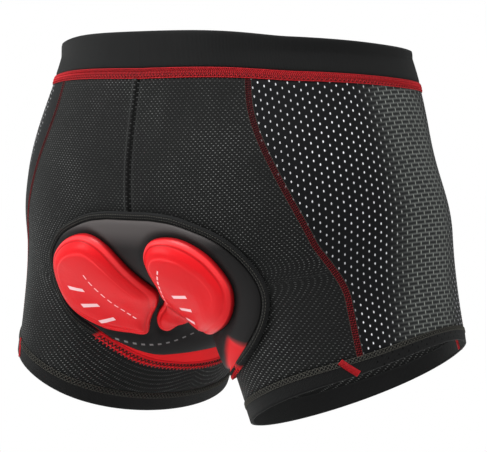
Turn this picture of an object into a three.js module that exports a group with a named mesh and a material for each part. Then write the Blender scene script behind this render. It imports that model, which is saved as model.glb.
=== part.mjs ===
// Padded undershorts, worn and hollow: elastic waistband, two back panels, one front panel, two side
// mesh panels, two hem bands, and a seat pad with two gel cushions and a small middle one.
// Millimetres, +Z up. The wearer faces -Y and the wearer's left is +X.
// The origin is the middle of the waistband, where the shorts are held.
import * as THREE from 'three';

// ---- driving sizes ----------------------------------------------------------------------------

// The general figure that fills the shorts: an oval trunk and two splayed thighs, blended.
const WAIST = { z: 6, halfWidth: 146, back: 105, front: 105 };
const HIPS = { z: -87, halfWidth: 174.5, back: 113.9, front: 96 };
const TRUNK_DROP = 101.4; // from hip level to the lowest point of the trunk
const TRUNK_SQUARENESS = 2.32;
const TRUNK_ROUNDING = 2.6;
const THIGH_TOP = { z: -144, x: 89.2, y: -4.3, halfWidth: 100.1, halfDepth: 92.3 };
const THIGH_HEM = { z: -294, x: 137.2, y: -12.4, halfWidth: 66.2, halfDepth: 101.3 };
const THIGH_FADE_START = 20; // above the thigh top
const THIGH_FADE = 90;
const BLEND = 9.25;
const PAD_BLEND = 22; // the thick pad turns more gently between the legs than the cloth does
const THIGH_REACH = { above: -0.6, below: 1.6 }; // how far the thigh cones go on past their two ends

// Rings around the shorts: v runs from 0 at the top edge to 1 at the hem edge, and each ring is
// tilted, because the hems rise towards the outside of the legs.
const RING = {
  topZ: 13.5,
  hemZ: -301.4,
  hemRise: 0.513,
  waistLean: 0.042,
  hemLean: -0.075,
  bend: 1.5,
  backArch: 3.5, // the waist rises this much at the wearer's back, from archStart on
  archStart: 72,
};
// The hem hangs lower behind the outside of each leg, at this turn round the leg, in degrees.
const HEM_SAG = { depth: 6, turn: 45, start: 0.7, sharpness: 4 };
const RING_SHIFT = { from: 0.15, over: 0.6 }; // ring centres move from the middle into the legs
const V_TAPE_TOP = 0.083;
const V_TAPE_BOTTOM = 0.107;
const V_HEM_BAND = 0.935;

// Seams of the side mesh panels, as degrees round each ring: 0 is the side, the back is above 0.
const SIDE_SEAMS = [
  { v: 0.10, back: 44, front: -44 },
  { v: 0.35, back: 43, front: -43 },
  { v: 0.64, back: 46.5, front: -46 },
  { v: 0.94, back: 51, front: -50 },
];

// Columns of each panel, from seam to seam.
const FRONT_COLUMNS = 10;
const SIDE_COLUMNS = 9;
const BACK_COLUMNS = 11;
const RINGS_ABOVE_CROTCH = 11;
const RINGS_BELOW_CROTCH = 5;
const WAISTBAND_ROWS = 2;
const HEM_ROWS = 2;
const CROWDING = 1.6; // above 1, rows and columns are closer together near the crotch

// Walls.
const SEAM_GAP = 0.3;
const PANEL_WALL = 1.4;
const HEM_WALL = 2.0;
const WAISTBAND_WALL = 2.2;
const TAPE_WALL = 1.6;
const RAISED = 0.4; // how far bands stand out from the panels

// Seat pad: s runs along the crotch curve, from the waist seam down the centre back and forward
// under the crotch. The half width is measured sideways along the body from that curve.
const PAD_OUTLINE = [
  { s: 88, half: 22 },
  { s: 90, half: 41 },
  { s: 96, half: 62 },
  { s: 103, half: 78 },
  { s: 113, half: 91 },
  { s: 127, half: 102 },
  { s: 146, half: 108 },
  { s: 158, half: 107 },
  { s: 166, half: 102 },
  { s: 176, half: 92 },
  { s: 194, half: 78 },
  { s: 214, half: 67 },
  { s: 242, half: 62 },
  { s: 275, half: 64 },
  { s: 312, half: 66 },
  { s: 345, half: 62 },
  { s: 370, half: 52 },
  { s: 386, half: 38 },
  { s: 394, half: 18 },
];
// The charcoal foam fills the back lobe and narrows between the legs, where the base shows beside it.
const FOAM_OUTLINE = [
  { s: 170, half: 97 },
  { s: 178, half: 84 },
  { s: 190, half: 72 },
  { s: 204, half: 61 },
  { s: 222, half: 50 },
  { s: 244, half: 43 },
  { s: 285, half: 42 },
  { s: 330, half: 42 },
  { s: 360, half: 34 },
  { s: 376, half: 20 },
];
const PAD_LEAN = { amount: -12, from: 122, to: 214 }; // the lower back lobe sits towards the right leg
const PAD_ROWS = 30;
const FOAM_COLUMNS = 12;
const PAD_GAP = 1.1; // between the panels and the pad
const BASE_WALL = 1.6;
const LAYER_GAP = 0.4;
const FOAM_SIDE_GAP = 1.5; // between the foam and the inner edge of the binding
const FOAM_WALL = 4.6;
const FOAM_EDGE = 1.4;
const FOAM_ROUNDING = 16; // width of the sloping rim of the foam
const BINDING_WIDTH = 5.6;
const BINDING_HEIGHT = 3.4;
const BINDING_EDGE_HEIGHT = 1.7;

// Gel cushions, as outlines in the pad's own s and half width, each on its own side of the middle.
// The worn cloth pulls the left one longer and wider than the right one.
const GEL_LEFT_OUTLINE = [
  { s: 105, half: 44 },
  { s: 110, half: 67 },
  { s: 124, half: 86 },
  { s: 142, half: 96 },
  { s: 158, half: 96 },
  { s: 172, half: 82 },
  { s: 184, half: 63 },
  { s: 192, half: 49 },
  { s: 185, half: 39 },
  { s: 164, half: 16 },
  { s: 152, half: 6 },
  { s: 140, half: 8 },
  { s: 122, half: 16 },
  { s: 110, half: 28 },
];
const GEL_RIGHT_OUTLINE = [
  { s: 105, half: 43 },
  { s: 111, half: 61 },
  { s: 124, half: 76 },
  { s: 142, half: 82 },
  { s: 157, half: 77 },
  { s: 170, half: 58 },
  { s: 181, half: 38 },
  { s: 183, half: 20 },
  { s: 170, half: 8 },
  { s: 150, half: 4 },
  { s: 136, half: 11 },
  { s: 117, half: 14 },
  { s: 107, half: 24 },
];
// The small middle cushion shows beside the right one's edge; t > 0 is the wearer's left.
const GEL_CENTER_OUTLINE = [
  { s: 162, half: 5 },
  { s: 169, half: 15 },
  { s: 179, half: 27 },
  { s: 189, half: 36 },
  { s: 196, half: 38 },
  { s: 202, half: 34 },
  { s: 204, half: 24 },
  { s: 204, half: 12 },
  { s: 199, half: 2 },
  { s: 189, half: -3 },
  { s: 176, half: -1 },
  { s: 166, half: 1 },
];
const GEL_CENTRE = { s: 145, half: 46 };
const GEL_CENTER_CENTRE = { s: 188, half: 18 };
const GEL = { rim: 3.0, dome: 9.5 };
const GEL_CENTER = { rim: 2.0, dome: 3.6 };
const GEL_GAP = 1.0;
const GEL_AROUND = 28; // points round a cushion
const GEL_RINGS = [0.36, 0.66, 0.86, 0.96, 1]; // closer together where the dome falls to its rim
const DOME_ROUNDING = 2.6;

// How finely the cloth is searched for and sampled.
const PROBE = 0.4; // half the distance over which a slope is measured
const HALVINGS = 34;
const MARCH = { start: 2, step: 3, limit: 300 }; // outwards from a ring's centre
const RING_REACH = 200; // more than half the depth of the body
const CROTCH_BRACKET = { above: 0.55, below: 0.8 }; // the crotch ring lies between these two
const CROTCH_SWEEP = { z: -89, from: 57, to: -240, step: 0.125, start: 20, march: 4 }; // degrees, mm
const SIDEWAYS_STEP = 2;
const SIDEWAYS_STEPS = 66;
const OUTLINE_STEP = 0.25;

// ---- small helpers ----------------------------------------------------------------------------

const clamp = (value, low, high) => Math.min(high, Math.max(low, value));
const mix = (a, b, t) => a + (b - a) * t;

function smoothStep(t) {
  const c = clamp(t, 0, 1);
  return c * c * (3 - 2 * c);
}

/** Smooth curve through table rows: a Catmull-Rom value of `column` at `key` = x. */
function tableValue(rows, key, column, x) {
  const last = rows.length - 1;
  if (x <= rows[0][key]) return rows[0][column];
  if (x >= rows[last][key]) return rows[last][column];
  let i = 0;
  while (x > rows[i + 1][key]) i += 1;
  const slope = (j) => {
    const a = rows[Math.max(0, j - 1)];
    const b = rows[Math.min(last, j + 1)];
    return (b[column] - a[column]) / (b[key] - a[key]);
  };
  const step = rows[i + 1][key] - rows[i][key];
  const t = (x - rows[i][key]) / step;
  const t2 = t * t;
  const t3 = t2 * t;
  return (2 * t3 - 3 * t2 + 1) * rows[i][column] + (t3 - 2 * t2 + t) * step * slope(i)
    + (3 * t2 - 2 * t3) * rows[i + 1][column] + (t3 - t2) * step * slope(i + 1);
}

/** The place where `test` turns true between `low` (false) and `high` (true). */
function bisect(test, low, high) {
  let a = low;
  let b = high;
  for (let i = 0; i < HALVINGS; i += 1) {
    const middle = (a + b) / 2;
    if (test(middle)) b = middle;
    else a = middle;
  }
  return (a + b) / 2;
}

// ---- the figure -------------------------------------------------------------------------------

function thighAt(z) {
  const down = (THIGH_TOP.z - z) / (THIGH_TOP.z - THIGH_HEM.z);
  const t = clamp(down, THIGH_REACH.above, THIGH_REACH.below);
  return {
    x: mix(THIGH_TOP.x, THIGH_HEM.x, t),
    y: mix(THIGH_TOP.y, THIGH_HEM.y, t),
    halfWidth: mix(THIGH_TOP.halfWidth, THIGH_HEM.halfWidth, t),
    halfDepth: mix(THIGH_TOP.halfDepth, THIGH_HEM.halfDepth, t),
  };
}

function trunkDistance(x, y, z) {
  const t = clamp((WAIST.z - z) / (WAIST.z - HIPS.z), 0, 1);
  const halfWidth = mix(WAIST.halfWidth, HIPS.halfWidth, Math.sin((t * Math.PI) / 2));
  const back = mix(WAIST.back, HIPS.back, smoothStep(t));
  const front = mix(WAIST.front, HIPS.front, smoothStep(t));
  const halfDepth = (back + front) / 2;
  const n = TRUNK_SQUARENESS;
  const sideways = Math.abs(x / halfWidth) ** n;
  const forwards = Math.abs((y - (back - front) / 2) / halfDepth) ** n;
  const oval = (sideways + forwards) ** (1 / n);
  const drop = Math.max(0, (HIPS.z - z) / TRUNK_DROP);
  return (Math.sqrt(oval * oval + drop ** TRUNK_ROUNDING) - 1) * halfDepth;
}

function thighDistance(x, y, z) {
  const thigh = thighAt(z);
  const fade = Math.max(0, (z - THIGH_TOP.z - THIGH_FADE_START) / THIGH_FADE);
  const oval = Math.hypot((x - thigh.x) / thigh.halfWidth, (y - thigh.y) / thigh.halfDepth, fade);
  return (oval - 1) * Math.min(thigh.halfWidth, thigh.halfDepth);
}

/** Below zero inside the figure, above zero outside, and close to a distance near the cloth. */
function figure(p, blend = BLEND) {
  const parts = [trunkDistance(p.x, p.y, p.z), thighDistance(p.x, p.y, p.z), thighDistance(-p.x, p.y, p.z)];
  const least = Math.min(...parts);
  const sum = parts.reduce((total, part) => total + Math.exp((least - part) / blend), 0);
  return least - blend * Math.log(sum);
}

/** The outward direction at a point; a wider blend gives a calmer one between the legs. */
function normalAt(p, blend = BLEND) {
  const h = PROBE;
  const along = (x, y, z) => figure(new THREE.Vector3(p.x + x, p.y + y, p.z + z), blend);
  return new THREE.Vector3(
    along(h, 0, 0) - along(-h, 0, 0),
    along(0, h, 0) - along(0, -h, 0),
    along(0, 0, h) - along(0, 0, -h),
  ).normalize();
}

// ---- rings ------------------------------------------------------------------------------------

function ringPlane(v) {
  const tilt = v ** RING.bend;
  return {
    z: mix(RING.topZ, RING.hemZ, v),
    rise: RING.hemRise * tilt,
    lean: mix(RING.waistLean, RING.hemLean, tilt),
    arch: RING.backArch * (1 - v) ** 3,
    sag: HEM_SAG.depth * smoothStep((v - HEM_SAG.start) / (1 - HEM_SAG.start)),
  };
}

/** The ring at x, y: a tilted plane, arched up at the wearer's back and sagging near the hem. */
function onPlane(plane, x, y) {
  const arch = plane.arch * smoothStep((y - RING.archStart) / (WAIST.back - RING.archStart));
  const { x: cx, y: cy, halfWidth, halfDepth } = THIGH_HEM;
  const turn = Math.atan2((y - cy) / halfDepth, (x - cx) / halfWidth);
  const near = Math.max(0, Math.cos(turn - THREE.MathUtils.degToRad(HEM_SAG.turn)));
  const sag = plane.sag * near ** HEM_SAG.sharpness;
  return new THREE.Vector3(x, y, plane.z + plane.rise * x + plane.lean * y + arch - sag);
}

/** Where the ring meets the middle of the body, front and back, or null below the crotch. */
function ringEnds(v) {
  const plane = ringPlane(v);
  const inside = (y) => figure(onPlane(plane, 0, y)) < 0;
  let front = null;
  let back = null;
  for (let y = -RING_REACH; y <= RING_REACH; y += 1) {
    if (inside(y)) {
      if (front === null) front = y;
      back = y;
    }
  }
  if (front === null) return null;
  return {
    front: bisect(inside, front - 1, front),
    back: bisect((y) => !inside(y), back, back + 1),
  };
}

/** The v of the ring that just touches the crotch. */
const V_CROTCH = bisect((v) => ringEnds(v) === null, CROTCH_BRACKET.above, CROTCH_BRACKET.below);

/** A ring's plane, its centre on the wearer's left, and its end angles at the middle of the body. */
function makeRing(v) {
  const plane = ringPlane(v);
  const shift = smoothStep((v - RING_SHIFT.from) / RING_SHIFT.over);
  const thigh = thighAt(Math.min(plane.z + plane.rise * THIGH_TOP.x, THIGH_TOP.z));
  const centre = { x: thigh.x * shift, y: thigh.y * shift };
  const ends = v < V_CROTCH ? ringEnds(v) : null;
  const angleTo = (y) => Math.atan2(y - centre.y, -centre.x);
  return {
    plane,
    centre,
    ends,
    front: ends ? angleTo(ends.front) : -Math.PI,
    back: ends ? angleTo(ends.back) : Math.PI,
  };
}

const rings = new Map();

function ringAt(v) {
  if (!rings.has(v)) rings.set(v, makeRing(v));
  return rings.get(v);
}

/** A point of the cloth on the wearer's left, x >= 0, at an angle round ring v. */
function clothPoint(v, angle) {
  const { plane, centre, ends, front, back } = ringAt(v);
  if (ends && angle === back) return onPlane(plane, 0, ends.back);
  if (ends && angle === front) return onPlane(plane, 0, ends.front);
  const dx = Math.cos(angle);
  const dy = Math.sin(angle);
  const limit = dx < 0 ? centre.x / -dx : MARCH.limit;
  const outside = (r) => figure(onPlane(plane, centre.x + dx * r, centre.y + dy * r)) > 0;
  let r = MARCH.start;
  while (r < limit && !outside(r)) r += MARCH.step;
  const hit = bisect(outside, Math.max(0, r - MARCH.step), Math.min(r, limit));
  return onPlane(plane, centre.x + dx * hit, centre.y + dy * hit);
}

// ---- closed walls -----------------------------------------------------------------------------

/** A sheet is its points, the outward normals there, and its triangles, seen from outside. */
function emptySheet() {
  return { points: [], normals: [], triangles: [] };
}

function boundaryEdges(triangles) {
  const seen = new Map();
  const key = (a, b) => `${a}_${b}`;
  triangles.forEach(([a, b, c]) => [[a, b], [b, c], [c, a]].forEach(([i, j]) => seen.set(key(i, j), [i, j])));
  return [...seen.values()].filter(([i, j]) => !seen.has(key(j, i)));
}

/** Moves a sheet's edge inwards along the surface, so that neighbours stay apart at the seam. */
function insetSheet(sheet, distance) {
  const pulls = new Map();
  boundaryEdges(sheet.triangles).forEach(([i, j]) => {
    const along = sheet.points[j].clone().sub(sheet.points[i]).normalize();
    [i, j].forEach((k) => {
      const inward = sheet.normals[k].clone().cross(along).normalize();
      pulls.set(k, [...(pulls.get(k) ?? []), inward]);
    });
  });
  pulls.forEach(([first, second], k) => {
    const move = first.clone().add(second);
    move.multiplyScalar(distance / (1 + first.dot(second)));
    sheet.points[k].add(move);
  });
}

/** A closed solid from a sheet: `top` and `bottom` are heights over it, numbers or functions. */
function solidFromSheet(sheet, top, bottom) {
  const height = (value, k) => (typeof value === 'function' ? value(k) : value);
  const count = sheet.points.length;
  const positions = [];
  [top, bottom].forEach((level) => sheet.points.forEach((point, k) => {
    positions.push(...point.clone().addScaledVector(sheet.normals[k], height(level, k)).toArray());
  }));
  const index = [];
  sheet.triangles.forEach(([a, b, c]) => {
    index.push(a, b, c);
    index.push(a + count, c + count, b + count);
  });
  boundaryEdges(sheet.triangles).forEach(([i, j]) => {
    index.push(j, i, i + count);
    index.push(j, i + count, j + count);
  });
  const geometry = new THREE.BufferGeometry();
  geometry.setAttribute('position', new THREE.Float32BufferAttribute(positions, 3));
  geometry.setIndex(index);
  geometry.computeVertexNormals();
  return geometry;
}

/** Adds a quad whose corners turn anticlockwise seen from outside, cut along its shorter diagonal. */
function addQuad(sheet, a, b, c, d) {
  const p = sheet.points;
  if (p[a].distanceTo(p[c]) <= p[b].distanceTo(p[d])) sheet.triangles.push([a, b, c], [a, c, d]);
  else sheet.triangles.push([a, b, d], [b, c, d]);
}

// ---- panels -----------------------------------------------------------------------------------

/** Rings of a panel: closer together just above the crotch, where the underside is nearly flat. */
function panelRings(from, to) {
  const list = [];
  for (let i = 0; i <= RINGS_ABOVE_CROTCH; i += 1) {
    list.push(mix(V_CROTCH, from, (1 - i / RINGS_ABOVE_CROTCH) ** CROWDING));
  }
  for (let i = 1; i <= RINGS_BELOW_CROTCH; i += 1) {
    list.push(mix(V_CROTCH, to, (i / RINGS_BELOW_CROTCH) ** CROWDING));
  }
  return list;
}

const PANEL_RINGS = panelRings(V_TAPE_BOTTOM, V_HEM_BAND);

function addClothPoint(sheet, v, angle, side) {
  const point = clothPoint(v, angle);
  point.x *= side;
  sheet.points.push(point);
  sheet.normals.push(normalAt(point));
  return sheet.points.length - 1;
}

const backSeam = (v) => THREE.MathUtils.degToRad(tableValue(SIDE_SEAMS, 'v', 'back', v));
const frontSeam = (v) => THREE.MathUtils.degToRad(tableValue(SIDE_SEAMS, 'v', 'front', v));

/** Places from the middle of the body to a side seam, closer together near the middle. */
function placesFromMiddle(middle, seam, columns) {
  const places = [];
  for (let i = 0; i <= columns; i += 1) places.push(mix(middle, seam, (i / columns) ** CROWDING));
  return places;
}

const frontPlaces = (v) => placesFromMiddle(ringAt(v).front, frontSeam(v), FRONT_COLUMNS);
const backPlaces = (v) => placesFromMiddle(ringAt(v).back, backSeam(v), BACK_COLUMNS).reverse();

function sidePlaces(v) {
  const places = [];
  for (let i = 0; i <= SIDE_COLUMNS; i += 1) places.push(mix(frontSeam(v), backSeam(v), i / SIDE_COLUMNS));
  return places;
}

/** Places right round a half ring, where the panels have theirs. */
const ringPlaces = (v) => [...frontPlaces(v), ...sidePlaces(v).slice(1), ...backPlaces(v).slice(1)];

/** A panel on one side of the body, with its places on each ring. */
function sidePanel(side, places) {
  const sheet = emptySheet();
  const rows = PANEL_RINGS.map((v) => places(v).map((angle) => addClothPoint(sheet, v, angle, side)));
  addStrip(sheet, rows, side);
  insetSheet(sheet, SEAM_GAP / 2);
  return solidFromSheet(sheet, 0, -PANEL_WALL);
}

/** Quads between rows of point numbers; on the wearer's left, u grows anticlockwise from above. */
function addStrip(sheet, rows, side) {
  for (let r = 0; r + 1 < rows.length; r += 1) {
    for (let i = 0; i + 1 < rows[r].length; i += 1) {
      const [a, b, c, d] = [rows[r][i], rows[r + 1][i], rows[r + 1][i + 1], rows[r][i + 1]];
      if (side > 0) addQuad(sheet, a, b, c, d);
      else addQuad(sheet, d, c, b, a);
    }
  }
}

/** The front is one piece: both halves share their points down the middle, as far as the crotch. */
function frontPanel() {
  const sheet = emptySheet();
  const middle = PANEL_RINGS.map((v) => (v <= V_CROTCH ? addClothPoint(sheet, v, ringAt(v).front, 1) : null));
  [1, -1].forEach((side) => {
    const rows = PANEL_RINGS.map((v, r) => [
      middle[r] ?? addClothPoint(sheet, v, ringAt(v).front, side),
      ...frontPlaces(v).slice(1).map((angle) => addClothPoint(sheet, v, angle, side)),
    ]);
    addStrip(sheet, rows, side);
  });
  insetSheet(sheet, SEAM_GAP / 2);
  return solidFromSheet(sheet, 0, -PANEL_WALL);
}

/** A band right round the waist between two rings. */
function waistBand(from, to, rowCount, outer, wall) {
  const sheet = emptySheet();
  const rows = [];
  for (let r = 0; r <= rowCount; r += 1) {
    const v = mix(from, to, r / rowCount);
    const places = ringPlaces(v);
    const left = places.map((angle) => addClothPoint(sheet, v, angle, 1));
    const right = places.slice(1, -1).reverse().map((angle) => addClothPoint(sheet, v, angle, -1));
    rows.push([...left, ...right, left[0]]);
  }
  addStrip(sheet, rows, 1);
  insetSheet(sheet, SEAM_GAP / 2);
  return solidFromSheet(sheet, outer, outer - wall);
}

/** A band round one leg, from the panels' lower edge to the hem edge. */
function hemBand(side) {
  const sheet = emptySheet();
  const rows = [];
  for (let r = 0; r <= HEM_ROWS; r += 1) {
    const v = mix(V_HEM_BAND, 1, r / HEM_ROWS);
    const row = ringPlaces(v).slice(0, -1).map((angle) => addClothPoint(sheet, v, angle, side));
    rows.push([...row, row[0]]);
  }
  addStrip(sheet, rows, side);
  insetSheet(sheet, SEAM_GAP / 2);
  return solidFromSheet(sheet, RAISED, RAISED - HEM_WALL);
}

// ---- the pad's own surface --------------------------------------------------------------------

const SIDEWAYS = new THREE.Vector3(1, 0, 0);
const SEAM_Z = -24; // height of the waist seam at the centre back, where s is 0

/** The crotch curve in the plane x = 0, as points a millimetre apart from the centre back seam on. */
function crotchCurve() {
  const points = [];
  for (let turn = CROTCH_SWEEP.from; turn > CROTCH_SWEEP.to; turn -= CROTCH_SWEEP.step) {
    const angle = THREE.MathUtils.degToRad(turn);
    const at = (r) => new THREE.Vector3(0, r * Math.cos(angle), CROTCH_SWEEP.z + r * Math.sin(angle));
    let r = CROTCH_SWEEP.start;
    while (figure(at(r)) < 0) r += CROTCH_SWEEP.march;
    points.push(at(bisect((q) => figure(at(q)) > 0, r - CROTCH_SWEEP.march, r)));
  }
  const start = points.findIndex((point) => point.z < SEAM_Z);
  const curve = [points[start]];
  const lengths = [0];
  for (let i = start + 1; i < points.length; i += 1) {
    lengths.push(lengths[lengths.length - 1] + points[i].distanceTo(points[i - 1]));
    curve.push(points[i]);
  }
  return { curve, lengths };
}

const CROTCH = crotchCurve();

function crotchPoint(s) {
  let i = 0;
  while (i + 2 < CROTCH.lengths.length && CROTCH.lengths[i + 1] < s) i += 1;
  const t = (s - CROTCH.lengths[i]) / (CROTCH.lengths[i + 1] - CROTCH.lengths[i]);
  return CROTCH.curve[i].clone().lerp(CROTCH.curve[i + 1], t);
}

const sidewaysByRow = new Map();

/** Points at equal steps sideways from the crotch curve at s, on the wearer's left. */
function sidewaysLine(s) {
  if (sidewaysByRow.has(s)) return sidewaysByRow.get(s);
  const step = SIDEWAYS_STEP;
  const point = crotchPoint(s);
  const across = normalAt(point).setX(0).normalize();
  const line = [point.clone()];
  for (let i = 0; i < SIDEWAYS_STEPS; i += 1) {
    const normal = normalAt(point);
    const flat = new THREE.Vector2(normal.x, normal.dot(across)).normalize();
    point.addScaledVector(SIDEWAYS, flat.y * step).addScaledVector(across, -flat.x * step);
    const ahead = SIDEWAYS.clone().multiplyScalar(flat.x).addScaledVector(across, flat.y);
    const slope = (figure(point.clone().add(ahead)) - figure(point.clone().sub(ahead))) / 2;
    point.addScaledVector(ahead, -figure(point) / slope);
    line.push(point.clone());
  }
  sidewaysByRow.set(s, line);
  return line;
}

const padLean = (s) => {
  const t = clamp((s - PAD_LEAN.from) / (PAD_LEAN.to - PAD_LEAN.from), 0, 1);
  return PAD_LEAN.amount * Math.sin(Math.PI * t) ** 2;
};

/** A point on the cloth at s along the crotch curve and t sideways, t > 0 on the wearer's left. */
function seatPoint(s, t) {
  const sideways = t + padLean(s);
  const line = sidewaysLine(s);
  const place = Math.abs(sideways) / SIDEWAYS_STEP;
  const i = Math.min(Math.floor(place), line.length - 2);
  const point = line[i].clone().lerp(line[i + 1], place - i);
  if (sideways < 0) point.x = -point.x;
  return point;
}

function addSeatPoint(sheet, s, t) {
  const point = seatPoint(s, t);
  sheet.points.push(point);
  sheet.normals.push(normalAt(point, PAD_BLEND));
  sheet.places.push({ s, t });
  return sheet.points.length - 1;
}

/** The outline moved inwards by `distance`, row by row. */
function insetOutline(rows, distance) {
  return rows.map((row, i) => {
    const before = rows[Math.max(0, i - 1)];
    const after = rows[Math.min(rows.length - 1, i + 1)];
    const slope = (after.half - before.half) / (after.s - before.s);
    const length = Math.hypot(1, slope);
    return { s: row.s + (distance * slope) / length, half: row.half - distance / length };
  });
}

/** Rows of the pad's outline, equally far apart along its curve. */
function outlineRows(count) {
  const fine = [];
  const last = PAD_OUTLINE[PAD_OUTLINE.length - 1].s;
  for (let s = PAD_OUTLINE[0].s; s <= last; s += OUTLINE_STEP) {
    const point = new THREE.Vector2(s, tableValue(PAD_OUTLINE, 's', 'half', s));
    const before = fine[fine.length - 1];
    fine.push({ point, length: before ? before.length + point.distanceTo(before.point) : 0 });
  }
  const total = fine[fine.length - 1].length;
  const rows = [];
  for (let i = 0; i <= count; i += 1) {
    const reached = fine.find(({ length }) => length >= (total * i) / count);
    const { point } = reached ?? fine[fine.length - 1];
    rows.push({ s: point.x, half: point.y });
  }
  return rows;
}

const OUTER_ROWS = outlineRows(PAD_ROWS);
const INNER_ROWS = insetOutline(OUTER_ROWS, BINDING_WIDTH);
const FOAM_ROWS = insetOutline(OUTER_ROWS, BINDING_WIDTH + FOAM_SIDE_GAP);
const FOAM_START = INNER_ROWS[0].s;
const FOAM_END = FOAM_OUTLINE[FOAM_OUTLINE.length - 1].s;
const baseHalf = (s) => tableValue(INNER_ROWS, 's', 'half', s);

/** The foam nears the binding in the back lobe and follows its own outline further forward. */
function foamHalf(s) {
  const reach = Math.min(baseHalf(s) - FOAM_SIDE_GAP, tableValue(FOAM_ROWS, 's', 'half', s));
  return s < FOAM_OUTLINE[0].s ? reach : Math.min(reach, tableValue(FOAM_OUTLINE, 's', 'half', s));
}

/** Places across one row of the pad, as shares of the base's half width there. */
function acrossRow(row) {
  const inner = foamHalf(row.s) / row.half;
  const shares = [-1];
  for (let i = 0; i <= FOAM_COLUMNS; i += 1) shares.push(mix(-inner, inner, i / FOAM_COLUMNS));
  return [...shares, 1];
}

function padBase() {
  const sheet = { ...emptySheet(), places: [] };
  const rows = INNER_ROWS.map((row) => acrossRow(row)
    .map((share) => addSeatPoint(sheet, row.s, share * row.half)));
  addStrip(sheet, rows, -1);
  insetSheet(sheet, SEAM_GAP / 2);
  return solidFromSheet(sheet, PAD_GAP + BASE_WALL, PAD_GAP);
}

/** Height of the foam's top over the cloth: full in the middle, sloping to a thin rim. */
function foamTop(s, t) {
  const fromSide = foamHalf(s) - Math.abs(t);
  const inside = clamp(Math.min(fromSide, s - FOAM_START, FOAM_END - s) / FOAM_ROUNDING, 0, 1);
  const rounding = Math.sqrt(1 - (1 - inside) ** 2);
  return PAD_GAP + BASE_WALL + LAYER_GAP + mix(FOAM_EDGE, FOAM_WALL, rounding);
}

function padFoam() {
  const sheet = { ...emptySheet(), places: [] };
  const foamRows = INNER_ROWS.filter((row) => row.s < FOAM_END);
  const rows = foamRows.map((row) => acrossRow(row).slice(1, -1)
    .map((share) => addSeatPoint(sheet, row.s, share * row.half)));
  addStrip(sheet, rows, -1);
  const top = (k) => foamTop(sheet.places[k].s, sheet.places[k].t);
  return solidFromSheet(sheet, top, PAD_GAP + BASE_WALL + LAYER_GAP);
}

/** The binding: a raised strip sewn all round the pad, between its outline and the base. */
function padBinding() {
  const last = INNER_ROWS.length - 1;
  const sideOf = (i, sign) => ({ outer: OUTER_ROWS[i], inner: INNER_ROWS[i], share: sign });
  const places = [];
  const along = (i) => acrossRow(INNER_ROWS[i]).slice(1, -1).map((share) => ({ ...sideOf(i, 1), share }));
  for (let i = 0; i <= last; i += 1) places.push(sideOf(i, 1));
  places.push(...along(last).reverse());
  for (let i = last; i >= 0; i -= 1) places.push(sideOf(i, -1));
  places.push(...along(0));
  const sheet = { ...emptySheet(), places: [] };
  const across = [1, 0.5, 0];
  const rows = across.map((outwards) => {
    const row = places.map(({ outer, inner, share }) => {
      const half = mix(inner.half, outer.half, outwards);
      return addSeatPoint(sheet, mix(inner.s, outer.s, outwards), share * half);
    });
    return [...row, row[0]];
  });
  const crest = new Set(rows[1]);
  addStrip(sheet, rows, -1);
  insetSheet(sheet, SEAM_GAP / 2);
  const top = (k) => PAD_GAP + (crest.has(k) ? BINDING_HEIGHT : BINDING_EDGE_HEIGHT);
  return solidFromSheet(sheet, top, PAD_GAP);
}

// ---- gel cushions -----------------------------------------------------------------------------

/** A domed cushion inside a closed outline of places. */
function gelCushion(outline, centre, size, side) {
  const corners = outline.map(({ s, half }) => new THREE.Vector3(s, half, 0));
  const flat = new THREE.CatmullRomCurve3(corners, true);
  const sheet = { ...emptySheet(), places: [] };
  const reach = [];
  const middle = addSeatPoint(sheet, centre.s, centre.half * side);
  reach.push(0);
  const rows = GEL_RINGS.map((ring) => {
    const row = [];
    for (let i = 0; i < GEL_AROUND; i += 1) {
      const edge = flat.getPointAt(i / GEL_AROUND);
      row.push(addSeatPoint(sheet, mix(centre.s, edge.x, ring), mix(centre.half, edge.y, ring) * side));
      reach.push(ring);
    }
    return [...row, row[0]];
  });
  for (let i = 0; i < GEL_AROUND; i += 1) {
    const fan = [middle, rows[0][i], rows[0][i + 1]];
    sheet.triangles.push(side > 0 ? fan : [fan[0], fan[2], fan[1]]);
  }
  addStrip(sheet, rows, side);
  const under = (k) => foamTop(sheet.places[k].s, sheet.places[k].t) + GEL_GAP;
  const over = (k) => under(k) + size.rim + size.dome * Math.sqrt(1 - reach[k] ** DOME_ROUNDING);
  return solidFromSheet(sheet, over, under);
}

// ---- the scene graph --------------------------------------------------------------------------

const CLOTH = new THREE.MeshStandardMaterial({ color: 0x242526, roughness: 0.82, metalness: 0 });
const MESH_CLOTH = new THREE.MeshStandardMaterial({ color: 0x3a3b3c, roughness: 0.86, metalness: 0 });
const BAND = new THREE.MeshStandardMaterial({ color: 0x1c1c1e, roughness: 0.78, metalness: 0 });
const RED_TAPE = new THREE.MeshStandardMaterial({ color: 0xb81f2b, roughness: 0.7, metalness: 0 });
const RED_BASE = new THREE.MeshStandardMaterial({ color: 0xd42a30, roughness: 0.7, metalness: 0 });
const CHARCOAL_FOAM = new THREE.MeshStandardMaterial({ color: 0x3b3839, roughness: 0.6, metalness: 0 });
const RED_GEL = new THREE.MeshStandardMaterial({ color: 0xe0252c, roughness: 0.38, metalness: 0 });

const shorts = new THREE.Group();

function addPiece(name, geometry, material) {
  const mesh = new THREE.Mesh(geometry, material);
  mesh.name = name;
  shorts.add(mesh);
}

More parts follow.
